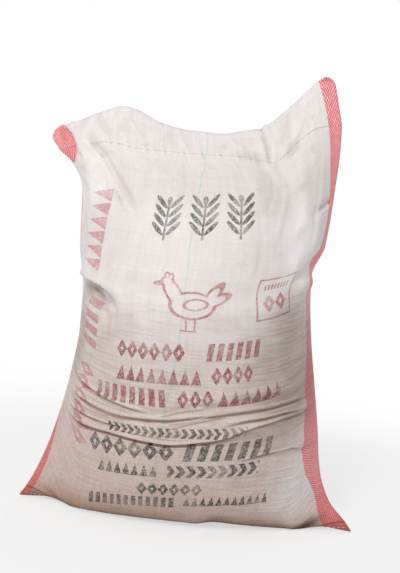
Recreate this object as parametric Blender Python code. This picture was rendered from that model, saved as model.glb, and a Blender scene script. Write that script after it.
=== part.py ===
"""A woven plastic feed sack, filled, sewn shut and standing on its base.

Metres, +Z up, +X to the right of the printed front, which faces -Y. The origin is on the floor, under the
middle of the sack. The cloth is a tube that lies flat as two layers with a fold down each side. It is made
here as it lies flat, then every point is moved to its place on the filled sack. Along the cloth, places are
given as the distance up from the bottom hem; across it, from -1 at the left fold to 1 at the right fold.
"""

import bmesh
import bpy
import numpy as np

# The cloth as it lies flat: its width, the places of the closing seam and the mouth above the hem, and the
# thickness of its two layers pressed together. The flap above the seam leans back by its own lean.
CLOTH_WIDTH = 0.610
SEAM_AT = 0.865
FLAP = 0.050
FLAP_LEAN = 0.022
MOUTH_AT = SEAM_AT + FLAP
LAYERS = 0.0024

# How far the filling pushes the front and the back out from the side folds.
FRONT_DEPTH = 0.177
BACK_DEPTH = 0.164

# Middle of the front and of the back: distance up the cloth, share of that depth, height.
FRONT = (
    (0.0, 0.17, 0.009), (0.035, 0.33, 0.0), (0.070, 0.48, 0.0), (0.100, 0.62, 0.009), (0.135, 0.76, 0.036),
    (0.210, 0.905, 0.102), (0.320, 0.97, 0.200), (0.450, 1.0, 0.318), (0.545, 0.96, 0.406),
    (0.605, 0.80, 0.452), (0.670, 0.635, 0.508), (0.740, 0.465, 0.572), (0.820, 0.27, 0.643),
    (SEAM_AT, 0.13, 0.676),
)
BACK = (
    (0.0, -0.18, 0.009), (0.035, 0.02, 0.0), (0.115, 0.51, 0.0), (0.155, 0.74, 0.010), (0.195, 0.87, 0.040),
    (0.270, 0.96, 0.110), (0.380, 1.0, 0.210), (0.500, 1.0, 0.320), (0.600, 0.93, 0.410),
    (0.700, 0.74, 0.495), (0.780, 0.48, 0.570), (0.835, 0.15, 0.640), (SEAM_AT, -0.11, 0.676),
)

# Folds down the left and right sides: distance up the cloth, place to the right, depth, height. The left
# ear's tip stands out further, halfway between the seam and the mouth.
LEFT = (
    (0.0, -0.318, -0.036, 0.002), (0.03, -0.305, -0.032, 0.022), (0.08, -0.288, -0.022, 0.060),
    (0.15, -0.270, -0.010, 0.115), (0.25, -0.254, 0.0, 0.185), (0.35, -0.243, 0.005, 0.255),
    (0.45, -0.236, 0.008, 0.328), (0.55, -0.237, 0.008, 0.402), (0.65, -0.250, 0.008, 0.485),
    (0.78, -0.256, 0.0, 0.598), (0.83, -0.278, -0.008, 0.642), (SEAM_AT, -0.306, -0.012, 0.667),
    (MOUTH_AT, -0.306, -0.012, 0.704),
)
RIGHT = (
    (0.0, 0.318, -0.048, 0.003), (0.03, 0.303, -0.040, 0.020), (0.08, 0.271, -0.024, 0.051),
    (0.15, 0.248, -0.010, 0.105), (0.25, 0.234, 0.0, 0.190), (0.35, 0.218, 0.005, 0.275),
    (0.45, 0.203, 0.008, 0.355), (0.55, 0.192, 0.010, 0.440), (0.59, 0.190, 0.010, 0.475),
    (0.65, 0.209, 0.010, 0.530), (0.75, 0.214, 0.008, 0.620), (0.82, 0.215, 0.0, 0.690),
    (SEAM_AT, 0.211, -0.008, 0.752), (MOUTH_AT, 0.192, -0.014, 0.832),
)
LEFT_EAR = 0.013

# How full each section is along the cloth: 0 is a lens with sharp side folds, 1 is an ellipse. The power is
# the lens's own: the higher it is, the flatter its middle and the blunter its two ends.
FULLNESS = (
    (0.0, 0.0), (0.10, 0.12), (0.20, 0.40), (0.35, 0.72), (0.60, 0.72), (0.75, 0.40), (SEAM_AT, 0.0),
)
LENS_POWER = ((0.0, 4.4), (0.12, 3.2), (0.30, 2.2), (SEAM_AT, 2.2))

# Closing seam and mouth: place to the right, height.
SEAM_LINE = (
    (-0.298, 0.664), (-0.250, 0.676), (-0.214, 0.683), (-0.150, 0.677), (-0.060, 0.678), (0.031, 0.682),
    (0.092, 0.676), (0.109, 0.690), (0.135, 0.722), (0.168, 0.749), (0.211, 0.760),
)
MOUTH_LINE = (
    (-0.306, 0.704), (-0.289, 0.708), (-0.253, 0.727), (-0.221, 0.742), (-0.192, 0.751), (-0.162, 0.746),
    (-0.123, 0.729), (-0.066, 0.720), (-0.010, 0.720), (0.026, 0.728), (0.066, 0.739), (0.096, 0.765),
    (0.129, 0.800), (0.159, 0.834), (0.172, 0.844), (0.184, 0.842), (0.192, 0.832),
)
SEAM_SPREAD = 0.28

# Shape of the underside: the cloth lies flat to the first share of the way across, then rises into the ears,
# where the hem shows in full from the second share on.
FLAT_SHARE = 0.71
EAR_SHARE = 0.86

# Bottom hem, turned up on the front and sewn.
HEM_WIDTH = 0.025
HEM_STEP = 0.0012
HEM_STITCH_AT = 0.011

# Bag thread: its thickness, its gap to the cloth, and where the closing seam starts and ends across.
THREAD = 0.0012
GAP = 0.0003
CLOSING_ENDS = (-0.93, 0.97)
HEM_ENDS = (-0.98, 0.98)

# Folds of the front and the back, as (kind, width, height, path). A path's points are (distance right of
# the middle, distance up the cloth). A ridge stands out along its path. An overhang stands out on the left
# of its path and tucks in on the right.
FRONT_FOLDS = (
    ("overhang", 0.020, 0.014, ((-0.302, 0.596), (-0.262, 0.576), (-0.210, 0.562), (-0.168, 0.552),
                                (-0.152, 0.525), (-0.158, 0.480))),
    ("ridge", 0.020, 0.0030, ((-0.180, 0.545), (-0.060, 0.540), (0.105, 0.545), (0.250, 0.575))),
    ("overhang", 0.020, 0.010, ((0.305, 0.592), (0.255, 0.612), (0.205, 0.600))),
    ("ridge", 0.011, 0.004, ((-0.293, 0.304), (-0.188, 0.336), (-0.073, 0.350), (-0.020, 0.356))),
    ("ridge", 0.010, 0.005, ((-0.300, 0.272), (-0.180, 0.308), (-0.060, 0.306), (0.040, 0.314),
                             (0.150, 0.334), (0.260, 0.318))),
    ("overhang", 0.009, 0.004, ((-0.075, 0.338), (0.020, 0.368), (0.140, 0.386), (0.250, 0.368))),
    ("ridge", 0.009, 0.004, ((0.060, 0.334), (0.174, 0.357), (0.285, 0.318))),
    ("overhang", 0.009, 0.003, ((0.110, 0.272), (0.197, 0.270), (0.292, 0.226))),
    ("ridge", 0.014, -0.005, ((-0.236, 0.875), (-0.220, 0.838), (-0.205, 0.776), (-0.172, 0.700))),
    ("ridge", 0.022, 0.005, ((-0.262, 0.860), (-0.262, 0.800), (-0.250, 0.720), (-0.235, 0.640))),
    ("ridge", 0.009, -0.005, ((0.300, 0.745), (0.262, 0.732), (0.225, 0.722))),
    ("overhang", 0.008, 0.004, ((0.176, 0.800), (0.167, 0.850), (0.160, 0.890), (0.153, 0.930))),
    ("ridge", 0.020, 0.005, ((0.210, 0.850), (0.205, 0.740), (0.190, 0.620))),
    ("ridge", 0.018, 0.004, ((0.100, 0.850), (0.110, 0.760), (0.125, 0.660))),
    ("ridge", 0.020, 0.004, ((-0.090, 0.850), (-0.115, 0.760), (-0.130, 0.640))),
    ("ridge", 0.014, 0.003, ((0.258, 0.840), (0.252, 0.760), (0.238, 0.650))),
    ("ridge", 0.016, 0.004, ((-0.200, 0.085), (-0.185, 0.125), (-0.178, 0.165))),
    ("ridge", 0.018, -0.004, ((0.080, 0.080), (0.085, 0.120), (0.095, 0.170))),
    ("ridge", 0.030, -0.014, ((0.030, 0.086), (0.100, 0.098), (0.175, 0.100), (0.235, 0.092))),
    ("ridge", 0.016, 0.004, ((0.180, 0.080), (0.190, 0.125), (0.200, 0.160))),
)
BACK_FOLDS = (
    ("overhang", 0.022, 0.010, ((0.298, 0.610), (0.225, 0.580), (0.120, 0.566), (0.020, 0.590))),
    ("ridge", 0.034, 0.006, ((-0.230, 0.560), (-0.080, 0.545), (0.090, 0.550), (0.210, 0.570))),
    ("ridge", 0.012, 0.005, ((-0.290, 0.330), (-0.160, 0.352), (0.010, 0.345), (0.140, 0.362))),
    ("overhang", 0.010, 0.004, ((-0.150, 0.300), (-0.010, 0.288), (0.130, 0.300), (0.285, 0.270))),
    ("ridge", 0.010, 0.004, ((-0.285, 0.246), (-0.160, 0.262), (-0.040, 0.250))),
    ("ridge", 0.022, 0.005, ((-0.210, 0.850), (-0.200, 0.740), (-0.170, 0.640))),
    ("ridge", 0.018, -0.005, ((-0.080, 0.850), (-0.070, 0.760), (-0.085, 0.660))),
    ("ridge", 0.022, 0.005, ((0.060, 0.850), (0.050, 0.740), (0.075, 0.630))),
    ("ridge", 0.018, -0.004, ((0.190, 0.850), (0.180, 0.760), (0.150, 0.680))),
    ("ridge", 0.018, -0.004, ((-0.060, 0.120), (-0.070, 0.160), (-0.060, 0.210))),
)
FOLD_MARGIN = 0.022
PATH_POINTS = 24

# Mesh of each layer: columns between the stripes, and rows as (from, to, how many) up the cloth.
COLUMNS = 30
ROW_ZONES = (
    (0.0, HEM_STITCH_AT, 1), (HEM_STITCH_AT, HEM_WIDTH, 1), (HEM_WIDTH, 0.100, 4), (0.100, 0.210, 7),
    (0.210, 0.400, 22), (0.400, 0.600, 13), (0.600, SEAM_AT, 14), (SEAM_AT, MOUTH_AT, 3),
)

# Red stripes woven down both sides: the share of each that lies on the front and on the back.
STRIPE_WIDE = 0.040
STRIPE_NARROW = 0.015
EAR_FROM = 0.842

# Fields of print on the front as (left, right, bottom, top) on the flat cloth.
RED_PRINT = (
    (-0.145, -0.020, 0.448, 0.478), (0.020, 0.130, 0.448, 0.478), (-0.140, 0.020, 0.405, 0.435),
    (0.050, 0.125, 0.405, 0.435), (-0.170, 0.175, 0.362, 0.392), (-0.255, -0.205, 0.240, 0.540),
    (-0.250, -0.200, 0.600, 0.760), (-0.070, 0.050, 0.510, 0.590), (0.120, 0.200, 0.545, 0.620),
)
GREY_PRINT = (
    (-0.110, -0.060, 0.690, 0.770), (-0.030, 0.020, 0.690, 0.770), (0.050, 0.100, 0.690, 0.770),
    (-0.190, 0.155, 0.270, 0.310), (-0.165, 0.135, 0.225, 0.250), (-0.085, 0.035, 0.185, 0.205),
    (-0.180, 0.180, 0.140, 0.165),
)
WOVEN_WHITE = (0.78, 0.73, 0.70, 1.0)
STRIPE_RED = (0.74, 0.24, 0.25, 1.0)
PRINT_RED = (0.62, 0.36, 0.35, 1.0)
PRINT_GREY = (0.38, 0.36, 0.34, 1.0)
THREAD_CREAM = (0.72, 0.62, 0.46, 1.0)


def curve(stations, at, column=1):
    """One column of the stations as a smooth curve that never overshoots them."""
    table = np.array(stations, float)
    places, values = table[:, 0], table[:, column]
    steps = np.diff(places)
    secants = np.diff(values) / steps
    slopes = np.zeros(len(values))
    slopes[0], slopes[-1] = secants[0], secants[-1]
    before, after = secants[:-1], secants[1:]
    same_way = before * after > 0
    total = np.where(same_way, before + after, 1.0)
    slopes[1:-1] = np.where(same_way, 2 * before * after / total, 0.0)
    at = np.clip(at, places[0], places[-1])
    i = np.clip(np.searchsorted(places, at) - 1, 0, len(steps) - 1)
    f = (at - places[i]) / steps[i]
    rise = f * f * (3 - 2 * f)
    lead_out = f * (1 - f) ** 2 * slopes[i] * steps[i]
    lead_in = f * f * (1 - f) * slopes[i + 1] * steps[i]
    return values[i] * (1 - rise) + values[i + 1] * rise + lead_out - lead_in


def ease(low, high, at):
    """0 up to low, 1 from high on, and smooth between."""
    f = np.clip((at - low) / (high - low), 0, 1)
    return f * f * (3 - 2 * f)


def plain_form(across, along, face):
    """The filled sack before its folds. face is -1 on the front layer and 1 on the back layer."""
    fullness = curve(FULLNESS, along)
    share = (1 - fullness) * across + fullness * np.sin(across * np.pi / 2)
    sharp = 1 - np.abs(across) ** curve(LENS_POWER, along)
    bulge = (1 - fullness) * sharp + fullness * np.cos(across * np.pi / 2)
    right = (1 + share) / 2
    x = curve(LEFT, along, 1) * (1 - right) + curve(RIGHT, along, 1) * right
    side_y = curve(LEFT, along, 2) * (1 - right) + curve(RIGHT, along, 2) * right
    side_z = curve(LEFT, along, 3) * (1 - right) + curve(RIGHT, along, 3) * right
    front = face < 0
    middle_y = np.where(front, -FRONT_DEPTH * curve(FRONT, along, 1), BACK_DEPTH * curve(BACK, along, 1))
    middle_z = np.where(front, curve(FRONT, along, 2), curve(BACK, along, 2))
    y = side_y + (middle_y - side_y) * bulge
    drop = 1 - ease(FLAT_SHARE, 1, np.abs(across))
    drop_upper = 1 - np.abs(across) ** 2.4
    upper = ease(0.10, 0.40, along)
    drop = drop * (1 - upper) + drop_upper * upper
    z = side_z + (middle_z - side_z) * drop

    seam_left, seam_right = curve(LEFT, SEAM_AT, 1), curve(RIGHT, SEAM_AT, 1)
    seam_x = seam_left + (seam_right - seam_left) * (1 + across) / 2
    own_seam = curve(LEFT, SEAM_AT, 3) * (1 - right) + curve(RIGHT, SEAM_AT, 3) * right
    own_seam = own_seam + (curve(FRONT, SEAM_AT, 2) - own_seam) * drop_upper
    near_seam = ease(SEAM_AT - SEAM_SPREAD, SEAM_AT, along)
    z = z + (curve(SEAM_LINE, seam_x) - own_seam) * near_seam

    flap = np.clip((along - SEAM_AT) / (MOUTH_AT - SEAM_AT), 0, 1)
    mouth_left, mouth_right = curve(LEFT, MOUTH_AT, 1), curve(RIGHT, MOUTH_AT, 1)
    mouth_x = mouth_left + (mouth_right - mouth_left) * (1 + across) / 2
    on_flap = along > SEAM_AT
    tip = LEFT_EAR * 4 * flap * (1 - flap) * (1 - right) ** 6
    x = np.where(on_flap, seam_x + (mouth_x - seam_x) * flap - tip, x)
    flap_z = curve(SEAM_LINE, seam_x) * (1 - flap) + curve(MOUTH_LINE, mouth_x) * flap
    z = np.where(on_flap, flap_z, z)
    y = y + FLAP_LEAN * flap + face * LAYERS / 2
    return np.stack([x, y, z], -1)


def smooth_normal(across, along, face):
    """Outward direction of the plain form."""
    step = 0.004
    over = plain_form(across + step, along, face) - plain_form(across - step, along, face)
    up = plain_form(across, along + step, face) - plain_form(across, along - step, face)
    normal = np.cross(over, up) * -face[..., None]
    return normal / np.maximum(np.linalg.norm(normal, axis=-1, keepdims=True), 1e-9)


def smooth_path(path):
    """Evenly spaced points on a smooth line through the path's own points."""
    path = np.array(path)
    gone = np.concatenate([[0], np.cumsum(np.linalg.norm(np.diff(path, axis=0), axis=1))])
    stations = np.column_stack([gone, path])
    at = np.linspace(0, gone[-1], PATH_POINTS)
    return np.column_stack([curve(stations, at, 1), curve(stations, at, 2)])


def fold_offset(right, along, kind, width, height, path):
    """How far one fold moves the cloth outwards."""
    points = smooth_path(path)
    nearest = np.full(right.shape, np.inf)
    side = np.ones(right.shape)
    share = np.zeros(right.shape)
    for i in range(PATH_POINTS - 1):
        run = points[i + 1] - points[i]
        to_right, to_along = right - points[i, 0], along - points[i, 1]
        t = np.clip((to_right * run[0] + to_along * run[1]) / (run @ run), 0, 1)
        off_right, off_along = to_right - t * run[0], to_along - t * run[1]
        distance = np.hypot(off_right, off_along)
        closer = distance < nearest
        nearest = np.where(closer, distance, nearest)
        side = np.where(closer, np.sign(run[0] * off_along - run[1] * off_right), side)
        share = np.where(closer, (i + t) / (PATH_POINTS - 1), share)
    reach = nearest / width
    fade = ease(0, 0.2, share) * (1 - ease(0.8, 1, share))
    if kind == "ridge":
        return height * fade * np.exp(-reach**2)
    return height * fade * side * reach * np.exp(0.5 - reach**2 / 2)


def folds(across, along, table):
    """How far all the folds of one layer move the cloth outwards."""
    right = across * CLOTH_WIDTH / 2
    total = np.zeros(across.shape)
    for fold in table:
        total = total + fold_offset(right, along, *fold)
    from_side = CLOTH_WIDTH / 2 - np.abs(right)
    return total * ease(0, FOLD_MARGIN, from_side)


def place(across, along, face):
    """Where a point of the flat cloth lies on the filled sack."""
    points = plain_form(across, along, face)
    front_face = np.full(across.shape, -1)
    front = folds(across, along, FRONT_FOLDS)
    back = folds(across, along, BACK_FOLDS)
    joined = ease(SEAM_AT - 0.040, SEAM_AT, along)
    own = np.where(face < 0, front, back * (1 - joined))
    points = points + smooth_normal(across, along, face) * own[..., None]
    shared = np.where(face > 0, front * joined, 0)
    points = points + smooth_normal(across, along, front_face) * shared[..., None]
    on_ear = ease(FLAT_SHARE, EAR_SHARE, np.abs(across))
    hem = HEM_STEP * (1 - ease(HEM_WIDTH - 0.002, HEM_WIDTH + 0.002, along)) * on_ear * (face < 0)
    points = points + smooth_normal(across, along, face) * hem[..., None]
    points[..., 2] = np.maximum(points[..., 2], 0)
    return points


def material(name, colour, roughness):
    """A plain material for one colour of cloth or thread."""
    new = bpy.data.materials.new(name)
    new.use_nodes = True
    shader = new.node_tree.nodes["Principled BSDF"]
    shader.inputs["Base Color"].default_value = colour
    shader.inputs["Roughness"].default_value = roughness
    shader.inputs["Metallic"].default_value = 0.0
    new.diffuse_color = colour
    return new


def row_places():
    """Distances up the cloth of the mesh rows."""
    rows = [0.0]
    for start, end, count in ROW_ZONES:
        rows.extend(np.linspace(start, end, count + 1)[1:])
    return np.array(rows)


def column_places():
    """Places across the cloth of the mesh columns, with one on each edge of a stripe."""
    wide = 1 - STRIPE_WIDE / (CLOTH_WIDTH / 2)
    narrow = 1 - STRIPE_NARROW / (CLOTH_WIDTH / 2)
    between = np.linspace(-wide, wide, COLUMNS + 1)
    return np.concatenate([[-1, -narrow], between, [narrow, 1]])


def field_of(across, along, face):
    """Material slot of a face: 0 white, 1 stripe, 2 red print, 3 grey print."""
    right = across * CLOTH_WIDTH / 2
    from_left, from_right = right + CLOTH_WIDTH / 2, CLOTH_WIDTH / 2 - right
    at_ear = along > EAR_FROM and face < 0
    left_stripe = STRIPE_WIDE if face > 0 or at_ear else STRIPE_NARROW
    right_stripe = STRIPE_NARROW if face > 0 else STRIPE_WIDE
    if from_left < left_stripe or from_right < right_stripe:
        return 1
    if face < 0:
        for slot, fields in ((2, RED_PRINT), (3, GREY_PRINT)):
            for left, edge, bottom, top in fields:
                if left < right < edge and bottom < along < top:
                    return slot
    return 0


def add_object(name, mesh):
    """A new object in the scene."""
    made = bpy.data.objects.new(name, mesh)
    bpy.context.scene.collection.objects.link(made)
    return made


def build_sack():
    """The whole sack: two flat layers joined all round, each point then moved to its filled place.

    The origin goes under the middle of the filled sack, and the way there is returned for the threads.
    """
    rows, columns = row_places(), column_places()
    bm = bmesh.new()
    bmesh.ops.create_grid(bm, x_segments=len(columns) - 1, y_segments=len(rows) - 1, size=1)
    flat = bm.faces[:]
    bmesh.ops.extrude_face_region(bm, geom=flat, use_keep_orig=True)
    bm.verts.ensure_lookup_table()
    layer = len(bm.verts) // 2
    count_across, count_along = len(columns) - 1, len(rows) - 1
    column = [round((v.co.x + 1) / 2 * count_across) for v in bm.verts]
    row = [round((v.co.y + 1) / 2 * count_along) for v in bm.verts]
    across, along = columns[column], rows[row]
    face = np.where(np.arange(len(bm.verts)) < layer, -1, 1)
    for polygon in bm.faces:
        corners = [v.index for v in polygon.verts]
        middle_face = np.sign(face[corners].mean())
        polygon.material_index = field_of(across[corners].mean(), along[corners].mean(), middle_face or -1)
        polygon.smooth = True
    filled = place(across, along, face)
    middle = (filled.min(axis=0) + filled.max(axis=0)) / 2 * (1, 1, 0)
    for vert, where in zip(bm.verts, filled - middle):
        vert.co = where
    bmesh.ops.recalc_face_normals(bm, faces=bm.faces[:])
    mesh = bpy.data.meshes.new("sack")
    bm.to_mesh(mesh)
    bm.free()
    add_object("sack", mesh)
    mesh.materials.append(material("woven white", WOVEN_WHITE, 0.55))
    mesh.materials.append(material("stripe red", STRIPE_RED, 0.5))
    mesh.materials.append(material("print red", PRINT_RED, 0.7))
    mesh.materials.append(material("print grey", PRINT_GREY, 0.7))
    return middle


def build_thread(name, along, ends, middle):
    """One strand of bag thread that lies on the front of a seam."""
    across = column_places()
    across = across[(across > ends[0]) & (across < ends[1])]
    along = np.full(across.shape, along)
    front = np.full(across.shape, -1)
    outward = smooth_normal(across, along, front)
    points = place(across, along, front) + outward * (GAP + THREAD / 2)
    line = bpy.data.curves.new(name, "CURVE")
    line.dimensions = "3D"
    line.bevel_depth = THREAD / 2
    line.bevel_resolution = 1
    line.use_fill_caps = True
    spline = line.splines.new("POLY")
    spline.points.add(len(points) - 1)
    for point, where in zip(spline.points, points - middle):
        point.co = (*where, 1.0)
    add_object(name, line)
    line.materials.append(material(name + " cream", THREAD_CREAM, 0.8))


for old in list(bpy.data.objects):
    bpy.data.objects.remove(old)

under_middle = build_sack()
build_thread("top_closing_thread", SEAM_AT, CLOSING_ENDS, under_middle)
build_thread("bottom_hem_thread", HEM_STITCH_AT, HEM_ENDS, under_middle)
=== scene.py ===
"""A filled poultry feed sack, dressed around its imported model.

Metres, +Z up, the printed front facing -Y. The sack is made as it lies flat and then filled, as its solid
is: places on the cloth are the distance right of its middle and the distance up from the bottom hem.
"""

import math

import bmesh
import bpy
import numpy as np
from mathutils import Matrix, Vector, noise


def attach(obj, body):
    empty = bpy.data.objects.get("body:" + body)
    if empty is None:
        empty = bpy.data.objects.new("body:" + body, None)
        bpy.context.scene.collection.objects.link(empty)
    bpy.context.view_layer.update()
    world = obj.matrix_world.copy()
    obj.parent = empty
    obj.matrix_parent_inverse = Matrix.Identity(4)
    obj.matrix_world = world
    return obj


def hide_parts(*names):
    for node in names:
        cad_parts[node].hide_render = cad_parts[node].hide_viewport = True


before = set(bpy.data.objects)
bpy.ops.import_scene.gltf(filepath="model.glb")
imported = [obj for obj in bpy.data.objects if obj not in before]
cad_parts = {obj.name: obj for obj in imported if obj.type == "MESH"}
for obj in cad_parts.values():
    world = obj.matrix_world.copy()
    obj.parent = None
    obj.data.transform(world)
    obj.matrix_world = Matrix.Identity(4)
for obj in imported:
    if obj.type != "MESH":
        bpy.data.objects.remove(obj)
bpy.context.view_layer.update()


# The filled cloth
# The sack is a tube of woven flat plastic tape, laid flat, hemmed across the bottom and sewn shut below its
# mouth. Filled with mash it stands on its underside, and its two layers meet in a fold down each side.

# The cloth as it lies flat: its width, the places of the closing seam and the mouth above the hem, and the
# thickness of its two layers pressed together. The flap above the seam leans back by its own lean.
CLOTH_WIDTH = 0.61
SEAM_AT = 0.865
FLAP = 0.05
FLAP_LEAN = 0.022
MOUTH_AT = SEAM_AT + FLAP
LAYERS = 0.0024

# How far the filling pushes the front and the back out from the side folds.
FRONT_DEPTH = 0.177
BACK_DEPTH = 0.164

# Middle of the front and of the back: distance up the cloth, share of that depth, height.
FRONT = (
    (0.0, 0.17, 0.009), (0.035, 0.33, 0.0), (0.07, 0.48, 0.0), (0.1, 0.62, 0.009), (0.135, 0.76, 0.036),
    (0.21, 0.905, 0.102), (0.32, 0.97, 0.2), (0.45, 1.0, 0.318), (0.545, 0.96, 0.406),
    (0.605, 0.8, 0.452), (0.67, 0.635, 0.508), (0.74, 0.465, 0.572), (0.82, 0.27, 0.643),
    (SEAM_AT, 0.13, 0.676),
)
BACK = (
    (0.0, -0.18, 0.009), (0.035, 0.02, 0.0), (0.115, 0.51, 0.0), (0.155, 0.74, 0.01), (0.195, 0.87, 0.04),
    (0.27, 0.96, 0.11), (0.38, 1.0, 0.21), (0.5, 1.0, 0.32), (0.6, 0.93, 0.41),
    (0.7, 0.74, 0.495), (0.78, 0.48, 0.57), (0.835, 0.15, 0.64), (SEAM_AT, -0.11, 0.676),
)

# Folds down the left and right sides: distance up the cloth, place to the right, depth, height. The left
# ear's tip stands out further, halfway between the seam and the mouth.
LEFT = (
    (0.0, -0.318, -0.036, 0.002), (0.03, -0.305, -0.032, 0.022), (0.08, -0.288, -0.022, 0.06),
    (0.15, -0.27, -0.01, 0.115), (0.25, -0.254, 0.0, 0.185), (0.35, -0.243, 0.005, 0.255),
    (0.45, -0.236, 0.008, 0.328), (0.55, -0.237, 0.008, 0.402), (0.65, -0.25, 0.008, 0.485),
    (0.78, -0.256, 0.0, 0.598), (0.83, -0.278, -0.008, 0.642), (SEAM_AT, -0.306, -0.012, 0.667),
    (MOUTH_AT, -0.306, -0.012, 0.704),
)
RIGHT = (
    (0.0, 0.318, -0.048, 0.003), (0.03, 0.303, -0.04, 0.02), (0.08, 0.271, -0.024, 0.051),
    (0.15, 0.248, -0.01, 0.105), (0.25, 0.234, 0.0, 0.19), (0.35, 0.218, 0.005, 0.275),
    (0.45, 0.203, 0.008, 0.355), (0.55, 0.192, 0.01, 0.44), (0.59, 0.19, 0.01, 0.475),
    (0.65, 0.209, 0.01, 0.53), (0.75, 0.214, 0.008, 0.62), (0.82, 0.215, 0.0, 0.69),
    (SEAM_AT, 0.211, -0.008, 0.752), (MOUTH_AT, 0.192, -0.014, 0.832),
)
LEFT_EAR = 0.013
LEFT_EAR_POWER = 6

# How full each section is along the cloth: 0 is a lens with sharp side folds, 1 is an ellipse. The power is
# the lens's own: the higher it is, the flatter its middle and the blunter its two ends.
FULLNESS = (
    (0.0, 0.0), (0.1, 0.12), (0.2, 0.4), (0.35, 0.72), (0.6, 0.72), (0.75, 0.4), (SEAM_AT, 0.0),
)
LENS_POWER = ((0.0, 4.4), (0.12, 3.2), (0.3, 2.2), (SEAM_AT, 2.2))

# Each row of the cloth drops from its middle to the side folds. Between these two places up the cloth it
# changes from the flat underside's way of dropping to a rounder one.
ROUNDER_FROM = 0.1
ROUNDER_AT = 0.4
ROUNDER_POWER = 2.4

# Closing seam and mouth: place to the right, height.
SEAM_LINE = (
    (-0.298, 0.664), (-0.25, 0.676), (-0.214, 0.683), (-0.15, 0.677), (-0.06, 0.678), (0.031, 0.682),
    (0.092, 0.676), (0.109, 0.69), (0.135, 0.722), (0.168, 0.749), (0.211, 0.76),
)
MOUTH_LINE = (
    (-0.306, 0.704), (-0.289, 0.708), (-0.253, 0.727), (-0.221, 0.742), (-0.192, 0.751), (-0.162, 0.746),
    (-0.123, 0.729), (-0.066, 0.72), (-0.01, 0.72), (0.026, 0.728), (0.066, 0.739), (0.096, 0.765),
    (0.129, 0.8), (0.159, 0.834), (0.172, 0.844), (0.184, 0.842), (0.192, 0.832),
)
SEAM_SPREAD = 0.28

# Shape of the underside: the cloth lies flat to the first share of the way across, then rises into the ears,
# where the hem shows in full from the second share on.
FLAT_SHARE = 0.71
EAR_SHARE = 0.86

# Bottom hem, turned up on the front and sewn.
HEM_WIDTH = 0.025
HEM_STEP = 0.0012
HEM_STITCH_AT = 0.011

# Folds of the front and the back, as (kind, width, height, path). A path's points are (distance right of
# the middle, distance up the cloth). A ridge stands out along its path. An overhang stands out on the left
# of its path and tucks in on the right.
FRONT_FOLDS = (
    ("overhang", 0.02, 0.014, (
        (-0.302, 0.596), (-0.262, 0.576), (-0.21, 0.562), (-0.168, 0.552), (-0.152, 0.525),
        (-0.158, 0.48))),
    ("ridge", 0.02, 0.003, ((-0.18, 0.545), (-0.06, 0.54), (0.105, 0.545), (0.25, 0.575))),
    ("overhang", 0.02, 0.01, ((0.305, 0.592), (0.255, 0.612), (0.205, 0.6))),
    ("ridge", 0.011, 0.004, ((-0.293, 0.304), (-0.188, 0.336), (-0.073, 0.35), (-0.02, 0.356))),
    ("ridge", 0.01, 0.005, (
        (-0.3, 0.272), (-0.18, 0.308), (-0.06, 0.306), (0.04, 0.314), (0.15, 0.334), (0.26, 0.318))),
    ("overhang", 0.009, 0.004, ((-0.075, 0.338), (0.02, 0.368), (0.14, 0.386), (0.25, 0.368))),
    ("ridge", 0.009, 0.004, ((0.06, 0.334), (0.174, 0.357), (0.285, 0.318))),
    ("overhang", 0.009, 0.003, ((0.11, 0.272), (0.197, 0.27), (0.292, 0.226))),
    ("ridge", 0.014, -0.005, ((-0.236, 0.875), (-0.22, 0.838), (-0.205, 0.776), (-0.172, 0.7))),
    ("ridge", 0.022, 0.005, ((-0.262, 0.86), (-0.262, 0.8), (-0.25, 0.72), (-0.235, 0.64))),
    ("ridge", 0.009, -0.005, ((0.3, 0.745), (0.262, 0.732), (0.225, 0.722))),
    ("overhang", 0.008, 0.004, ((0.176, 0.8), (0.167, 0.85), (0.16, 0.89), (0.153, 0.93))),
    ("ridge", 0.02, 0.005, ((0.21, 0.85), (0.205, 0.74), (0.19, 0.62))),
    ("ridge", 0.018, 0.004, ((0.1, 0.85), (0.11, 0.76), (0.125, 0.66))),
    ("ridge", 0.02, 0.004, ((-0.09, 0.85), (-0.115, 0.76), (-0.13, 0.64))),
    ("ridge", 0.014, 0.003, ((0.258, 0.84), (0.252, 0.76), (0.238, 0.65))),
    ("ridge", 0.016, 0.004, ((-0.2, 0.085), (-0.185, 0.125), (-0.178, 0.165))),
    ("ridge", 0.018, -0.004, ((0.08, 0.08), (0.085, 0.12), (0.095, 0.17))),
    ("ridge", 0.03, -0.014, ((0.03, 0.086), (0.1, 0.098), (0.175, 0.1), (0.235, 0.092))),
    ("ridge", 0.016, 0.004, ((0.18, 0.08), (0.19, 0.125), (0.2, 0.16))),
)
BACK_FOLDS = (
    ("overhang", 0.022, 0.01, ((0.298, 0.61), (0.225, 0.58), (0.12, 0.566), (0.02, 0.59))),
    ("ridge", 0.034, 0.006, ((-0.23, 0.56), (-0.08, 0.545), (0.09, 0.55), (0.21, 0.57))),
    ("ridge", 0.012, 0.005, ((-0.29, 0.33), (-0.16, 0.352), (0.01, 0.345), (0.14, 0.362))),
    ("overhang", 0.01, 0.004, ((-0.15, 0.3), (-0.01, 0.288), (0.13, 0.3), (0.285, 0.27))),
    ("ridge", 0.01, 0.004, ((-0.285, 0.246), (-0.16, 0.262), (-0.04, 0.25))),
    ("ridge", 0.022, 0.005, ((-0.21, 0.85), (-0.2, 0.74), (-0.17, 0.64))),
    ("ridge", 0.018, -0.005, ((-0.08, 0.85), (-0.07, 0.76), (-0.085, 0.66))),
    ("ridge", 0.022, 0.005, ((0.06, 0.85), (0.05, 0.74), (0.075, 0.63))),
    ("ridge", 0.018, -0.004, ((0.19, 0.85), (0.18, 0.76), (0.15, 0.68))),
    ("ridge", 0.018, -0.004, ((-0.06, 0.12), (-0.07, 0.16), (-0.06, 0.21))),
)
FOLD_MARGIN = 0.022
PATH_POINTS = 24


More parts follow.
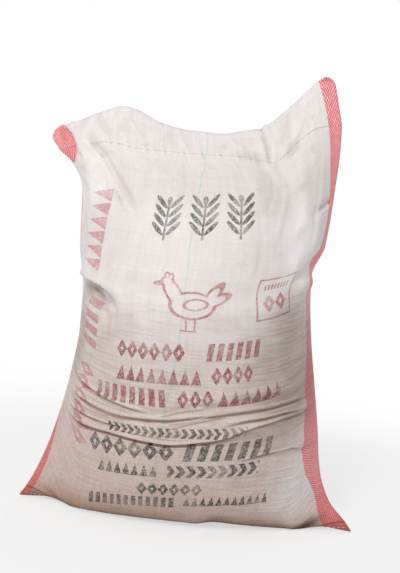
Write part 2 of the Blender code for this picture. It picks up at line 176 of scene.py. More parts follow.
def curve(stations, at, column=1):
    """One column of the stations as a smooth curve that never overshoots them."""
    table = np.array(stations, float)
    places, values = table[:, 0], table[:, column]
    steps = np.diff(places)
    secants = np.diff(values) / steps
    slopes = np.zeros(len(values))
    slopes[0], slopes[-1] = secants[0], secants[-1]
    before, after = secants[:-1], secants[1:]
    same_way = before * after > 0
    total = np.where(same_way, before + after, 1.0)
    slopes[1:-1] = np.where(same_way, 2 * before * after / total, 0.0)
    at = np.clip(at, places[0], places[-1])
    i = np.clip(np.searchsorted(places, at) - 1, 0, len(steps) - 1)
    f = (at - places[i]) / steps[i]
    rise = f * f * (3 - 2 * f)
    lead_out = f * (1 - f) ** 2 * slopes[i] * steps[i]
    lead_in = f * f * (1 - f) * slopes[i + 1] * steps[i]
    return values[i] * (1 - rise) + values[i + 1] * rise + lead_out - lead_in


def ease(low, high, at):
    """0 up to low, 1 from high on, and smooth between."""
    f = np.clip((at - low) / (high - low), 0, 1)
    return f * f * (3 - 2 * f)


def plain_form(across, along, face):
    """The filled sack before its folds. face is -1 on the front layer and 1 on the back layer."""
    fullness = curve(FULLNESS, along)
    share = (1 - fullness) * across + fullness * np.sin(across * np.pi / 2)
    sharp = 1 - np.abs(across) ** curve(LENS_POWER, along)
    bulge = (1 - fullness) * sharp + fullness * np.cos(across * np.pi / 2)
    right = (1 + share) / 2
    x = curve(LEFT, along, 1) * (1 - right) + curve(RIGHT, along, 1) * right
    side_y = curve(LEFT, along, 2) * (1 - right) + curve(RIGHT, along, 2) * right
    side_z = curve(LEFT, along, 3) * (1 - right) + curve(RIGHT, along, 3) * right
    front = face < 0
    middle_y = np.where(front, -FRONT_DEPTH * curve(FRONT, along, 1), BACK_DEPTH * curve(BACK, along, 1))
    middle_z = np.where(front, curve(FRONT, along, 2), curve(BACK, along, 2))
    y = side_y + (middle_y - side_y) * bulge
    drop = 1 - ease(FLAT_SHARE, 1, np.abs(across))
    drop_upper = 1 - np.abs(across) ** ROUNDER_POWER
    upper = ease(ROUNDER_FROM, ROUNDER_AT, along)
    drop = drop * (1 - upper) + drop_upper * upper
    z = side_z + (middle_z - side_z) * drop

    seam_left, seam_right = curve(LEFT, SEAM_AT, 1), curve(RIGHT, SEAM_AT, 1)
    seam_x = seam_left + (seam_right - seam_left) * (1 + across) / 2
    own_seam = curve(LEFT, SEAM_AT, 3) * (1 - right) + curve(RIGHT, SEAM_AT, 3) * right
    own_seam = own_seam + (curve(FRONT, SEAM_AT, 2) - own_seam) * drop_upper
    near_seam = ease(SEAM_AT - SEAM_SPREAD, SEAM_AT, along)
    z = z + (curve(SEAM_LINE, seam_x) - own_seam) * near_seam

    flap = np.clip((along - SEAM_AT) / (MOUTH_AT - SEAM_AT), 0, 1)
    mouth_left, mouth_right = curve(LEFT, MOUTH_AT, 1), curve(RIGHT, MOUTH_AT, 1)
    mouth_x = mouth_left + (mouth_right - mouth_left) * (1 + across) / 2
    on_flap = along > SEAM_AT
    tip = LEFT_EAR * 4 * flap * (1 - flap) * (1 - right) ** LEFT_EAR_POWER
    x = np.where(on_flap, seam_x + (mouth_x - seam_x) * flap - tip, x)
    flap_z = curve(SEAM_LINE, seam_x) * (1 - flap) + curve(MOUTH_LINE, mouth_x) * flap
    z = np.where(on_flap, flap_z, z)
    y = y + FLAP_LEAN * flap + face * LAYERS / 2
    return np.stack([x, y, z], -1)


def smooth_normal(across, along, face):
    """Outward direction of the plain form."""
    step = 0.004
    over = plain_form(across + step, along, face) - plain_form(across - step, along, face)
    up = plain_form(across, along + step, face) - plain_form(across, along - step, face)
    normal = np.cross(over, up) * -face[..., None]
    return normal / np.maximum(np.linalg.norm(normal, axis=-1, keepdims=True), 1e-9)


def smooth_path(path):
    """Evenly spaced points on a smooth line through the path's own points."""
    path = np.array(path)
    gone = np.concatenate([[0], np.cumsum(np.linalg.norm(np.diff(path, axis=0), axis=1))])
    stations = np.column_stack([gone, path])
    at = np.linspace(0, gone[-1], PATH_POINTS)
    return np.column_stack([curve(stations, at, 1), curve(stations, at, 2)])


def fold_offset(right, along, kind, width, height, path):
    """How far one fold moves the cloth outwards."""
    points = smooth_path(path)
    nearest = np.full(right.shape, np.inf)
    side = np.ones(right.shape)
    share = np.zeros(right.shape)
    for i in range(PATH_POINTS - 1):
        run = points[i + 1] - points[i]
        to_right, to_along = right - points[i, 0], along - points[i, 1]
        t = np.clip((to_right * run[0] + to_along * run[1]) / (run @ run), 0, 1)
        off_right, off_along = to_right - t * run[0], to_along - t * run[1]
        distance = np.hypot(off_right, off_along)
        closer = distance < nearest
        nearest = np.where(closer, distance, nearest)
        side = np.where(closer, np.sign(run[0] * off_along - run[1] * off_right), side)
        share = np.where(closer, (i + t) / (PATH_POINTS - 1), share)
    reach = nearest / width
    fade = ease(0, 0.2, share) * (1 - ease(0.8, 1, share))
    if kind == "ridge":
        return height * fade * np.exp(-reach**2)
    return height * fade * side * reach * np.exp(0.5 - reach**2 / 2)


def folds(across, along, table):
    """How far all the folds of one layer move the cloth outwards."""
    right = across * CLOTH_WIDTH / 2
    total = np.zeros(across.shape)
    for fold in table:
        total = total + fold_offset(right, along, *fold)
    from_side = CLOTH_WIDTH / 2 - np.abs(right)
    return total * ease(0, FOLD_MARGIN, from_side)


def place(across, along, face):
    """Where a point of the flat cloth lies on the filled sack."""
    points = plain_form(across, along, face)
    front_face = np.full(across.shape, -1)
    front = folds(across, along, FRONT_FOLDS)
    back = folds(across, along, BACK_FOLDS)
    joined = ease(SEAM_AT - 0.04, SEAM_AT, along)
    own = np.where(face < 0, front, back * (1 - joined))
    points = points + smooth_normal(across, along, face) * own[..., None]
    shared = np.where(face > 0, front * joined, 0)
    points = points + smooth_normal(across, along, front_face) * shared[..., None]
    on_ear = ease(FLAT_SHARE, EAR_SHARE, np.abs(across))
    hem = HEM_STEP * (1 - ease(HEM_WIDTH - 0.002, HEM_WIDTH + 0.002, along)) * on_ear * (face < 0)
    points = points + smooth_normal(across, along, face) * hem[..., None]
    points[..., 2] = np.maximum(points[..., 2], 0)
    return points


# The cloth's mesh: two flat layers joined all round, as the empty sack lies, then moved to the filled form.
# Rows go up the cloth as (from, to, how many), closer together where the cloth creases most.
SACK_COLUMNS = 66
SACK_ROWS = (
    (0.0, 0.03, 6), (0.03, 0.1, 9), (0.1, 0.21, 18), (0.21, 0.4, 88), (0.4, 0.62, 30),
    (0.62, SEAM_AT, 34), (SEAM_AT, MOUTH_AT, 12),
)


def flat_sack():
    """The empty sack as it lies flat, with each point's place across and along the cloth and its layer."""
    rows = [0.0]
    for start, end, count in SACK_ROWS:
        rows.extend(np.linspace(start, end, count + 1)[1:])
    rows = np.array(rows)
    bm = bmesh.new()
    cloth_uv = bm.loops.layers.uv.new("cloth")
    bmesh.ops.create_grid(bm, x_segments=SACK_COLUMNS, y_segments=len(rows) - 1, size=1, calc_uvs=True)
    bmesh.ops.extrude_face_region(bm, geom=bm.faces[:], use_keep_orig=True)
    bm.verts.ensure_lookup_table()
    places = np.array([v.co for v in bm.verts])
    across = places[:, 0]
    along = rows[np.rint((places[:, 1] + 1) / 2 * (len(rows) - 1)).astype(int)]
    face = np.where(np.arange(len(places)) < len(places) // 2, -1, 1)
    for polygon in bm.faces:
        sides = {face[v.index] for v in polygon.verts}
        for loop in polygon.loops:
            point = loop.vert.index
            right = (across[point] + 1) / 2 * CLOTH_WIDTH
            round_back = 2 * CLOTH_WIDTH - right if sides == {1} else right
            loop[cloth_uv].uv = (round_back, along[point])
        polygon.smooth = True
    return bm, across, along, face


bm, across, along, face = flat_sack()
filled = place(across, along, face)
under_middle = (filled.min(axis=0) + filled.max(axis=0)) / 2 * (1, 1, 0)
for vert, where in zip(bm.verts, filled - under_middle):
    vert.co = where
bmesh.ops.recalc_face_normals(bm, faces=bm.faces[:])
sack_mesh = bpy.data.meshes.new("filled_sack")
bm.to_mesh(sack_mesh)
bm.free()
sack = bpy.data.objects.new("filled_sack", sack_mesh)
bpy.context.scene.collection.objects.link(sack)

# The mash settles and the cloth above it slackens, so the cloth has a little more length and width than its
# form needs, and the spare cloth buckles into small creases.
SPARE_LENGTH = ((0.0, 0.0), (0.1, 0.0), (0.22, 0.007), (0.42, 0.022), (0.6, 0.026), (MOUTH_AT, 0.028))
SPARE_WIDTH = (
    (0.0, 0.0), (0.12, 0.0), (0.3, 0.004), (0.55, 0.01), (0.7, 0.03), (0.82, 0.03), (SEAM_AT, 0.0),
)
SETTLE_FRAMES = 20
SETTLE_LIMIT = 0.009
HOLD = 0.06


def settle(piece, across, along):
    """Lets the spare cloth buckle, then keeps each point within the limit of where it was."""
    scene = bpy.context.scene
    start = np.array([v.co for v in piece.data.vertices])
    longer = start.copy()
    longer[:, :2] *= 1 + curve(SPARE_WIDTH, along)[:, None]
    longer[:, 2] += curve(SPARE_LENGTH, along)
    piece.shape_key_add(name="as filled")
    rest = piece.shape_key_add(name="spare cloth")
    rest.data.foreach_set("co", longer.ravel())
    held = np.full(len(start), HOLD)
    held = np.maximum(held, ease(SEAM_AT - 0.03, SEAM_AT - 0.005, along))
    held = np.maximum(held, ease(0.86, 0.96, np.abs(across)))
    held = np.maximum(held, 1 - ease(0.02, 0.05, along))
    held = np.maximum(held, 1 - ease(0.001, 0.012, start[:, 2]))
    group = piece.vertex_groups.new(name="held")
    for index, weight in enumerate(held):
        group.add([index], float(weight), "REPLACE")
    cloth = piece.modifiers.new("settle", "CLOTH")
    settings = cloth.settings
    settings.quality = 6
    settings.mass = 0.15
    settings.tension_stiffness = 30
    settings.compression_stiffness = 30
    settings.shear_stiffness = 12
    settings.bending_stiffness = 0.4
    settings.air_damping = 2
    settings.vertex_group_mass = "held"
    settings.pin_stiffness = 1
    settings.rest_shape_key = rest
    settings.use_pressure = True
    settings.uniform_pressure_force = 1.5
    settings.effector_weights.gravity = 0
    cloth.point_cache.frame_start = 1
    cloth.point_cache.frame_end = SETTLE_FRAMES
    for frame_number in range(1, SETTLE_FRAMES + 1):
        scene.frame_set(frame_number)
    settled = piece.evaluated_get(bpy.context.evaluated_depsgraph_get()).to_mesh()
    moved = np.array([v.co for v in settled.vertices]) - start
    piece.modifiers.remove(cloth)
    scene.frame_set(1)
    piece.shape_key_clear()
    piece.vertex_groups.clear()
    distance = np.linalg.norm(moved, axis=1, keepdims=True)
    moved *= np.tanh(distance / SETTLE_LIMIT) * SETTLE_LIMIT / np.maximum(distance, 1e-9)
    piece.data.vertices.foreach_set("co", (start + moved).ravel())
    piece.data.update()


settle(sack, across, along)

# The slit between the two layers at the mouth.
SLIT = 0.0007
SLIT_DEPTH = 0.006

# Sharp creases pressed into the cloth by the sag of the mash, on the front and on the back, given as the
# folds are. A lip's upper side stands out and its lower side tucks in. A crease is a narrow ridge or groove.
FRONT_CREASES = (
    ("lip", 0.0026, 0.0034, (
        (-0.296, 0.386), (-0.244, 0.352), (-0.204, 0.349), (-0.159, 0.345), (-0.125, 0.343),
        (-0.06, 0.338))),
    ("lip", 0.0027, 0.0041, (
        (-0.3, 0.312), (-0.245, 0.316), (-0.218, 0.319), (-0.136, 0.318), (-0.087, 0.324), (-0.04, 0.33),
        (0.035, 0.349), (0.11, 0.36), (0.17, 0.362), (0.3, 0.338))),
    ("crease", 0.002, 0.0018, ((-0.296, 0.345), (-0.245, 0.334), (-0.19, 0.334), (-0.13, 0.331))),
    ("crease", 0.002, -0.0016, ((-0.292, 0.362), (-0.24, 0.343), (-0.18, 0.341))),
    ("lip", 0.0024, 0.003, (
        (-0.3, 0.28), (-0.262, 0.281), (-0.223, 0.289), (-0.17, 0.293), (-0.11, 0.298))),
    ("crease", 0.002, -0.0018, ((-0.296, 0.296), (-0.24, 0.302), (-0.18, 0.306), (-0.12, 0.309))),
    ("lip", 0.0029, 0.0051, (
        (-0.3, 0.248), (-0.27, 0.254), (-0.235, 0.266), (-0.185, 0.272), (-0.142, 0.278), (-0.084, 0.279),
        (-0.032, 0.28), (0.012, 0.291), (0.059, 0.303), (0.108, 0.326), (0.17, 0.333), (0.24, 0.324),
        (0.3, 0.294))),
    ("crease", 0.002, 0.0025, (
        (-0.17, 0.268), (-0.12, 0.271), (-0.06, 0.271), (0.0, 0.279), (0.06, 0.295))),
    ("crease", 0.002, 0.0018, (
        (-0.21, 0.284), (-0.16, 0.29), (-0.1, 0.292), (-0.02, 0.294), (0.04, 0.306))),
    ("crease", 0.002, 0.003, ((-0.088, 0.322), (-0.05, 0.336), (0.0, 0.358), (0.04, 0.368))),
    ("crease", 0.002, 0.0039, (
        (-0.048, 0.316), (-0.02, 0.328), (0.01, 0.338), (0.046, 0.352), (0.07, 0.356))),
    ("crease", 0.002, -0.0023, ((-0.04, 0.31), (0.0, 0.326), (0.04, 0.34), (0.075, 0.348))),
    ("lip", 0.0024, 0.0034, (
        (0.044, 0.322), (0.064, 0.331), (0.108, 0.342), (0.166, 0.343), (0.23, 0.332), (0.3, 0.302))),
    ("crease", 0.002, 0.0016, ((0.13, 0.352), (0.19, 0.353), (0.26, 0.34))),
    ("crease", 0.002, 0.0016, ((0.13, 0.316), (0.19, 0.318), (0.27, 0.296))),
    ("lip", 0.002, 0.003, ((0.085, 0.254), (0.154, 0.267), (0.2, 0.267), (0.24, 0.252), (0.3, 0.216))),
    ("crease", 0.002, 0.0013, ((0.125, 0.244), (0.16, 0.25), (0.195, 0.246))),
    ("crease", 0.002, 0.0014, ((0.165, 0.228), (0.205, 0.228), (0.25, 0.212))),
    ("crease", 0.002, 0.0014, ((0.19, 0.21), (0.225, 0.203), (0.27, 0.182))),
    ("crease", 0.002, 0.0013, ((0.19, 0.193), (0.23, 0.184), (0.27, 0.166))),
    ("crease", 0.002, 0.0011, ((0.2, 0.176), (0.24, 0.163), (0.272, 0.147))),
    ("crease", 0.0025, 0.0016, ((-0.246, 0.412), (-0.2, 0.397), (-0.15, 0.394), (-0.11, 0.388))),
    ("crease", 0.0025, 0.0014, ((0.12, 0.392), (0.18, 0.392), (0.26, 0.372))),
    ("crease", 0.0025, 0.0011, ((-0.06, 0.378), (0.02, 0.384), (0.09, 0.396))),
    ("lip", 0.0036, 0.0046, (
        (-0.274, 0.596), (-0.25, 0.586), (-0.222, 0.578), (-0.182, 0.566), (-0.164, 0.544))),
    ("crease", 0.007, -0.0011, ((-0.252, 0.56), (-0.206, 0.534), (-0.174, 0.5), (-0.164, 0.45))),
    ("crease", 0.006, -0.0022, ((0.252, 0.852), (0.246, 0.79), (0.238, 0.72), (0.225, 0.66))),
    ("crease", 0.006, 0.0018, ((0.178, 0.85), (0.17, 0.8), (0.15, 0.74), (0.135, 0.69))),
    ("crease", 0.005, -0.0016, ((0.15, 0.845), (0.135, 0.79), (0.105, 0.735))),
    ("lip", 0.006, 0.0046, (
        (-0.14, 0.722), (-0.168, 0.752), (-0.196, 0.774), (-0.218, 0.8), (-0.226, 0.83), (-0.232, 0.862),
        (-0.246, 0.888))),
    ("crease", 0.005, 0.0022, ((-0.29, 0.8), (-0.268, 0.77), (-0.262, 0.73))),
    ("crease", 0.003, -0.0016, ((-0.308, 0.866), (-0.29, 0.87), (-0.274, 0.872))),
    ("crease", 0.006, 0.0014, ((-0.13, 0.85), (-0.122, 0.8), (-0.125, 0.74))),
    ("crease", 0.006, -0.0012, ((-0.04, 0.855), (-0.046, 0.8), (-0.06, 0.73), (-0.066, 0.65))),
    ("crease", 0.006, 0.0012, ((0.06, 0.855), (0.056, 0.8), (0.064, 0.72), (0.06, 0.65))),
    ("crease", 0.0055, -0.0012, ((0.1, 0.77), (0.106, 0.7), (0.1, 0.62))),
    ("crease", 0.005, 0.002, ((-0.285, 0.742), (-0.262, 0.7), (-0.25, 0.65), (-0.262, 0.6))),
    ("lip", 0.0036, 0.0095, ((0.3, 0.742), (0.276, 0.731), (0.25, 0.726))),
    ("lip", 0.005, 0.0036, (
        (0.148, 0.925), (0.154, 0.908), (0.163, 0.888), (0.165, 0.872), (0.158, 0.858))),
    ("lip", 0.006, 0.005, (
        (-0.296, 0.922), (-0.276, 0.898), (-0.263, 0.875), (-0.266, 0.845), (-0.292, 0.82))),
    ("crease", 0.0055, 0.003, ((-0.16, 0.918), (-0.146, 0.897), (-0.124, 0.88), (-0.1, 0.868))),
    ("crease", 0.005, -0.0026, ((-0.225, 0.915), (-0.206, 0.892), (-0.184, 0.872))),
    ("crease", 0.005, 0.0022, ((-0.04, 0.918), (-0.036, 0.894), (-0.02, 0.874))),
    ("crease", 0.005, 0.0026, ((0.07, 0.915), (0.082, 0.894), (0.11, 0.874))),
    ("crease", 0.005, 0.0026, ((0.24, 0.91), (0.228, 0.887), (0.205, 0.868))),
    ("crease", 0.005, -0.0022, ((0.205, 0.912), (0.196, 0.89), (0.182, 0.872))),
)
BACK_CREASES = (
    ("lip", 0.0055, 0.003, ((-0.298, 0.33), (-0.2, 0.352), (-0.08, 0.34), (0.04, 0.346), (0.16, 0.362))),
    ("lip", 0.005, 0.003, ((-0.2, 0.292), (-0.09, 0.282), (0.06, 0.292), (0.18, 0.286), (0.297, 0.262))),
    ("crease", 0.0036, 0.002, ((-0.29, 0.262), (-0.2, 0.27), (-0.11, 0.262))),
    ("crease", 0.004, 0.0018, ((0.03, 0.318), (0.12, 0.324), (0.22, 0.312))),
    ("crease", 0.006, 0.0014, ((-0.2, 0.85), (-0.19, 0.76), (-0.16, 0.68))),
    ("crease", 0.006, -0.0014, ((-0.03, 0.85), (-0.04, 0.77), (-0.02, 0.69))),
    ("crease", 0.006, 0.0014, ((0.13, 0.85), (0.12, 0.76), (0.14, 0.68))),
)

# Puckers along the closing seam, the depth at which a crease counts as fully tucked in, and small rumples of
# the slack cloth, stronger near the left shoulder and on the flap.
PUCKER_PITCH = 0.016
PUCKER_HEIGHT = 0.0012
PUCKER_REACH = 0.012
TUCKED_DEPTH = 0.0022
RUMPLE_ACROSS = 30.0
RUMPLE_UP = 21.0
RUMPLE_LOW = 0.0003
RUMPLE_HIGH = 0.0014


def crease_offset(right, along, kind, width, height, path):
    """How far one sharp crease moves the cloth outwards."""
    low = np.array(path).min(axis=0) - 5 * width
    high = np.array(path).max(axis=0) + 5 * width
    near = (right > low[0]) & (right < high[0]) & (along > low[1]) & (along < high[1])
    moved = np.zeros(right.shape)
    fold_kind = "ridge" if kind == "crease" else "overhang"
    moved[near] = fold_offset(right[near], along[near], fold_kind, width, height, path)
    if kind == "crease":
        sharp = np.abs(moved) / abs(height)
        moved *= 0.5 + 0.5 * sharp
    return moved


def subdivided(piece):
    """The piece's mesh after one round of subdivision."""
    finer = piece.modifiers.new("finer", "SUBSURF")
    finer.levels = 1
    finer.render_levels = 1
    finer.boundary_smooth = "PRESERVE_CORNERS"
    mesh = bpy.data.meshes.new_from_object(piece.evaluated_get(bpy.context.evaluated_depsgraph_get()))
    piece.modifiers.remove(finer)
    return mesh


def open_mouth(mesh):
    """A narrow slit between the two layers along the mouth."""
    bm = bmesh.new()
    bm.from_mesh(mesh)
    cloth_uv = bm.loops.layers.uv["cloth"]
    rim = [f for f in bm.faces if min(loop[cloth_uv].uv.y for loop in f.loops) > MOUTH_AT - 0.0001]
    bmesh.ops.inset_region(bm, faces=rim, thickness=SLIT, depth=-SLIT_DEPTH, use_even_offset=False)
    bm.to_mesh(mesh)
    bm.free()


def crease(mesh):
    """Presses the creases of both layers into the cloth."""
    count = len(mesh.vertices)
    loop_vertex = np.zeros(len(mesh.loops), int)
    mesh.loops.foreach_get("vertex_index", loop_vertex)
    uv = np.zeros(len(mesh.loops) * 2)
    mesh.uv_layers["cloth"].data.foreach_get("uv", uv)
    chart = np.zeros((count, 2))
    chart[loop_vertex] = uv.reshape(-1, 2)
    on_back = chart[:, 0] > CLOTH_WIDTH
    right = np.where(on_back, 2 * CLOTH_WIDTH - chart[:, 0], chart[:, 0]) - CLOTH_WIDTH / 2
    along = chart[:, 1]
    points = np.zeros(count * 3)
    mesh.vertices.foreach_get("co", points)
    points = points.reshape(-1, 3)
    normals = np.array([v.normal for v in mesh.vertices])
    front = np.zeros(count)
    for one in FRONT_CREASES:
        front += crease_offset(right, along, *one)
    back = np.zeros(count)
    for one in BACK_CREASES:
        back += crease_offset(right, along, *one)
    joined = ease(SEAM_AT - 0.015, SEAM_AT, along)
    pucker = np.sin(right / PUCKER_PITCH * 2 * np.pi) * np.sin(right / PUCKER_PITCH * 1.3 + 1)
    front += PUCKER_HEIGHT * pucker * np.exp(-((along - SEAM_AT) / PUCKER_REACH) ** 2)
    own = np.where(on_back, back * (1 - joined) - front * joined, front)
    places = np.stack([right * RUMPLE_ACROSS, along * RUMPLE_UP, on_back * 7.0], 1)
    rumple = np.abs([noise.noise(Vector(spot)) for spot in places]) * 2
    near_left = ease(0.6, 0.8, along) * ease(0.14, 0.26, -right)
    on_flap = ease(SEAM_AT, SEAM_AT + 0.02, along)
    own -= rumple * (RUMPLE_LOW + (RUMPLE_HIGH - RUMPLE_LOW) * np.maximum(near_left, on_flap))
    own *= 0.3 + 0.7 * ease(0.03, 0.1, CLOTH_WIDTH / 2 - right)
    own *= ease(0.0, 0.012, CLOTH_WIDTH / 2 - np.abs(right))
    points = points + normals * own[:, None]
    points[:, 2] = np.maximum(points[:, 2], 0.0)
    mesh.vertices.foreach_set("co", points.ravel())
    # How far each point is tucked in; the cloth's finish darkens it there with dust and painted shade.
    tucked = mesh.attributes.new("tucked", "FLOAT", "POINT")
    tucked.data.foreach_set("value", np.clip(-own / TUCKED_DEPTH, 0, 1))
    mesh.update()


def rim_as_front(mesh):
    """Gives the mouth's narrow faces the front layer's place on the cloth, so no stripe crosses them."""
    cloth_uv = mesh.uv_layers["cloth"].data
    for face in mesh.polygons:
        corners = list(face.loop_indices)
        if min(cloth_uv[corner].uv.y for corner in corners) > MOUTH_AT - 0.0001:
            for corner in corners:
                round_sack, along = cloth_uv[corner].uv
                cloth_uv[corner].uv = (min(round_sack, 2 * CLOTH_WIDTH - round_sack), along)


sack_mesh = subdivided(sack)
open_mouth(sack_mesh)
crease(sack_mesh)
rim_as_front(sack_mesh)
sack.data = sack_mesh

# The cloth's finish: flat tape woven over and under, a red stripe down each side, one coloured warp tape
# near the middle, print that rubs off the raised tape, dust that has settled into it towards the base, and
# painted light and shade in patches and creases.
TAPE = 0.0025
STALK = 0.0022


def linked(tree, socket, value):
    """Sets a socket to a number or colour, or joins another socket to it."""
    value = getattr(value, "socket", value)
    if isinstance(value, bpy.types.NodeSocket):
        tree.links.new(value, socket)
    else:
        socket.default_value = value


def math_node(operation, *values, limit=False):
    """One Math node. At least one of its values comes from a node of the same tree."""
    tree = next(value.socket.id_data for value in values if isinstance(value, Amount))
    node = tree.nodes.new("ShaderNodeMath")
    node.operation = operation
    node.use_clamp = limit
    for socket, value in zip(node.inputs, values):
        linked(tree, socket, value)
    return Amount(node.outputs[0])


class Amount:
    """A number in a shader. Its sums are written as plain ones. < and > give 1 or 0, and | is the larger."""

    def __init__(self, socket):
        self.socket = socket

    def __add__(self, other):
        return math_node("ADD", self, other)

    def __sub__(self, other):
        return math_node("SUBTRACT", self, other)

    def __rsub__(self, other):
        return math_node("SUBTRACT", other, self)

    def __mul__(self, other):
        return math_node("MULTIPLY", self, other)

    def __truediv__(self, other):
        return math_node("DIVIDE", self, other)

    def __lt__(self, other):
        return math_node("LESS_THAN", self, other)

    def __gt__(self, other):
        return math_node("GREATER_THAN", self, other)

    def __or__(self, other):
        return math_node("MAXIMUM", self, other)

    def __abs__(self):
        return math_node("ABSOLUTE", self)

    def step(self, low, high):
        """0 where it is at low, 1 where it is at high, and smooth between."""
        tree = self.socket.id_data
        node = tree.nodes.new("ShaderNodeMapRange")
        node.interpolation_type = "SMOOTHSTEP"
        for name, value in (("Value", self), ("From Min", low), ("From Max", high)):
            linked(tree, node.inputs[name], value)
        return Amount(node.outputs["Result"])


def blend(tree, share, first, second, kind="MIX"):
    """One colour mixed into another."""
    node = tree.nodes.new("ShaderNodeMix")
    node.data_type = "RGBA"
    node.blend_type = kind
    linked(tree, node.inputs["Factor"], share)
    linked(tree, node.inputs["A"], first)
    linked(tree, node.inputs["B"], second)
    return node.outputs["Result"]


def cloudy(tree, place_at, scale, detail=2.0, dimensions="3D"):
    """Soft noise around one half."""
    node = tree.nodes.new("ShaderNodeTexNoise")
    node.noise_dimensions = dimensions
    linked(tree, node.inputs["Vector"], place_at)
    node.inputs["Scale"].default_value = scale
    node.inputs["Detail"].default_value = detail
    return Amount(node.outputs["Fac"])


def speckle(tree, first, second=0.0):
    """A random share for each pair of whole numbers."""
    pair = tree.nodes.new("ShaderNodeCombineXYZ")
    linked(tree, pair.inputs["X"], first)
    linked(tree, pair.inputs["Y"], second)
    node = tree.nodes.new("ShaderNodeTexWhiteNoise")
    node.noise_dimensions = "2D"
    tree.links.new(pair.outputs[0], node.inputs["Vector"])
    return Amount(node.outputs["Value"])


def new_group(name, inputs, outputs):
    """An empty node group whose sockets are all numbers, with what it is given and what it puts out."""
    group = bpy.data.node_groups.new(name, "ShaderNodeTree")
    for in_out, names in (("INPUT", inputs), ("OUTPUT", outputs)):
        for socket_name in names:
            group.interface.new_socket(socket_name, in_out=in_out, socket_type="NodeSocketFloat")
    given = group.nodes.new("NodeGroupInput").outputs
    out = group.nodes.new("NodeGroupOutput").inputs
    return group, [Amount(given[socket_name]) for socket_name in inputs], out


def place_group(tree, group, **values):
    """A group set into a material, with its values."""
    node = tree.nodes.new("ShaderNodeGroup")
    node.node_tree = group
    for name, value in values.items():
        linked(tree, node.inputs[name], value)
    return {output.name: Amount(output) for output in node.outputs}


def plain_weave():
    """Flat tapes over and under: height, whether the upright tape is on top, shades of tape and cell."""
    group, (round_sack, along, tape), out = new_group(
        "plain weave", ("Round", "Along", "Tape"), ("Height", "Upright", "Tape Shade", "Cell Shade"))
    column = round_sack / tape
    row = along / tape
    column_number = math_node("FLOOR", column)
    row_number = math_node("FLOOR", row)
    in_column = math_node("FRACT", column) - 0.5
    in_row = math_node("FRACT", row) - 0.5
    upright = math_node("FLOORED_MODULO", column_number + row_number, 2.0)
    crowns = []
    for over, under in ((in_column, in_row), (in_row, in_column)):
        square = over * over
        rounded_edge = square * square * 16.0
        dip = under * under * 2.4
        crowns.append(1.0 - rounded_edge - dip)
    flat = 1.0 - upright
    linked(group, out["Height"], crowns[0] * upright + crowns[1] * flat)
    linked(group, out["Upright"], upright)
    shade_up = speckle(group, column_number, 0.0)
    shade_over = speckle(group, row_number, 7.0)
    linked(group, out["Tape Shade"], shade_up * upright + shade_over * flat)
    linked(group, out["Cell Shade"], speckle(group, column_number, row_number))
    return group


def stamped_row():
    """A row of plain stamped shapes between four edges: bars, lozenges, chevrons or peaks."""
    group, (at_right, at_up, start, end, low, high, pitch, lean), out = new_group(
        "stamped row", ("Right", "Up", "From", "To", "Low", "High", "Pitch", "Lean"),
        ("Bars", "Lozenges", "Chevrons", "Peaks"))
    up = (at_up - low) / (high - low)
    run = (at_right - start - up * lean * pitch) / pitch
    count = math_node("ROUND", (end - start) / pitch)
    off_middle = abs(up - 0.5)
    inside = (off_middle < 0.5) * ((run > 0.0) * (run < count))
    off_side = abs(math_node("FRACT", run) - 0.5)
    ring = off_side + off_middle * 0.86
    bent = math_node("FRACT", run + off_middle)
    linked(group, out["Bars"], (off_side < 0.3) * inside)
    linked(group, out["Lozenges"], (ring < 0.49) * (ring > 0.15) * inside)
    linked(group, out["Chevrons"], (abs(bent - 0.5) < 0.28) * inside)
    linked(group, out["Peaks"], (off_side + up * 0.5 < 0.47) * inside)
    return group


def grain_ear():
    """Plain ears of grain side by side: a stalk with a pair of kernels at each step up it."""
    group, (at_right, at_up, start, end, low, high, pitch), out = new_group(
        "grain ear", ("Right", "Up", "From", "To", "Low", "High", "Pitch"), ("Ears",))
    run = (at_right - start) / pitch
    side = abs(math_node("FRACT", run) - 0.5) * pitch
    up = (at_up - low) / (high - low)
    stalk = (side < STALK) * (abs(up - 0.45) < 0.45)
    leaf_run = up * 5.0 - side * 55.0
    leaf_up = math_node("FRACT", leaf_run) - 0.5
    leaf_side = side * 64.0 - 0.95
    size = leaf_up * leaf_up * 5.2 + leaf_side * leaf_side
    on_ear = abs(math_node("FLOOR", leaf_run) - 1.5) < 1.6
    kernels = (size < 0.62) * on_ear
    tip_up = (up - 0.885) * 11.0
    tip_side = side * 190.0
    tip = tip_up * tip_up + tip_side * tip_side < 1.0
    between = (at_right > start) * (at_right < end)
    linked(group, out["Ears"], (stalk | kernels | tip) * between)
    return group


# A plain hen, as a stamp cutter would scribe it from ovals: (right, up, half length, half width, turn).
HEN_PLACE = (-0.008, 0.56)
HEN_OVALS = (
    (0.004, 0.0, 0.04, 0.027, 8), (-0.03, 0.022, 0.029, 0.014, 118), (-0.042, 0.044, 0.011, 0.01, 0),
    (-0.054, 0.04, 0.008, 0.003, 10), (-0.044, 0.056, 0.004, 0.006, 10), (-0.037, 0.054, 0.004, 0.006, -15),
    (0.04, 0.024, 0.028, 0.009, 58), (0.046, 0.014, 0.028, 0.009, 32),
)
HEN_WING = ((0.01, 0.002, 0.021, 0.011, 12),)
HEN_LEGS = (
    (-0.006, -0.038, 0.013, 0.002, 94), (0.01, -0.038, 0.013, 0.002, 88), (-0.01, -0.051, 0.008, 0.002, 0),
    (0.006, -0.051, 0.008, 0.002, 0),
)
HEN_LINE = 0.0024


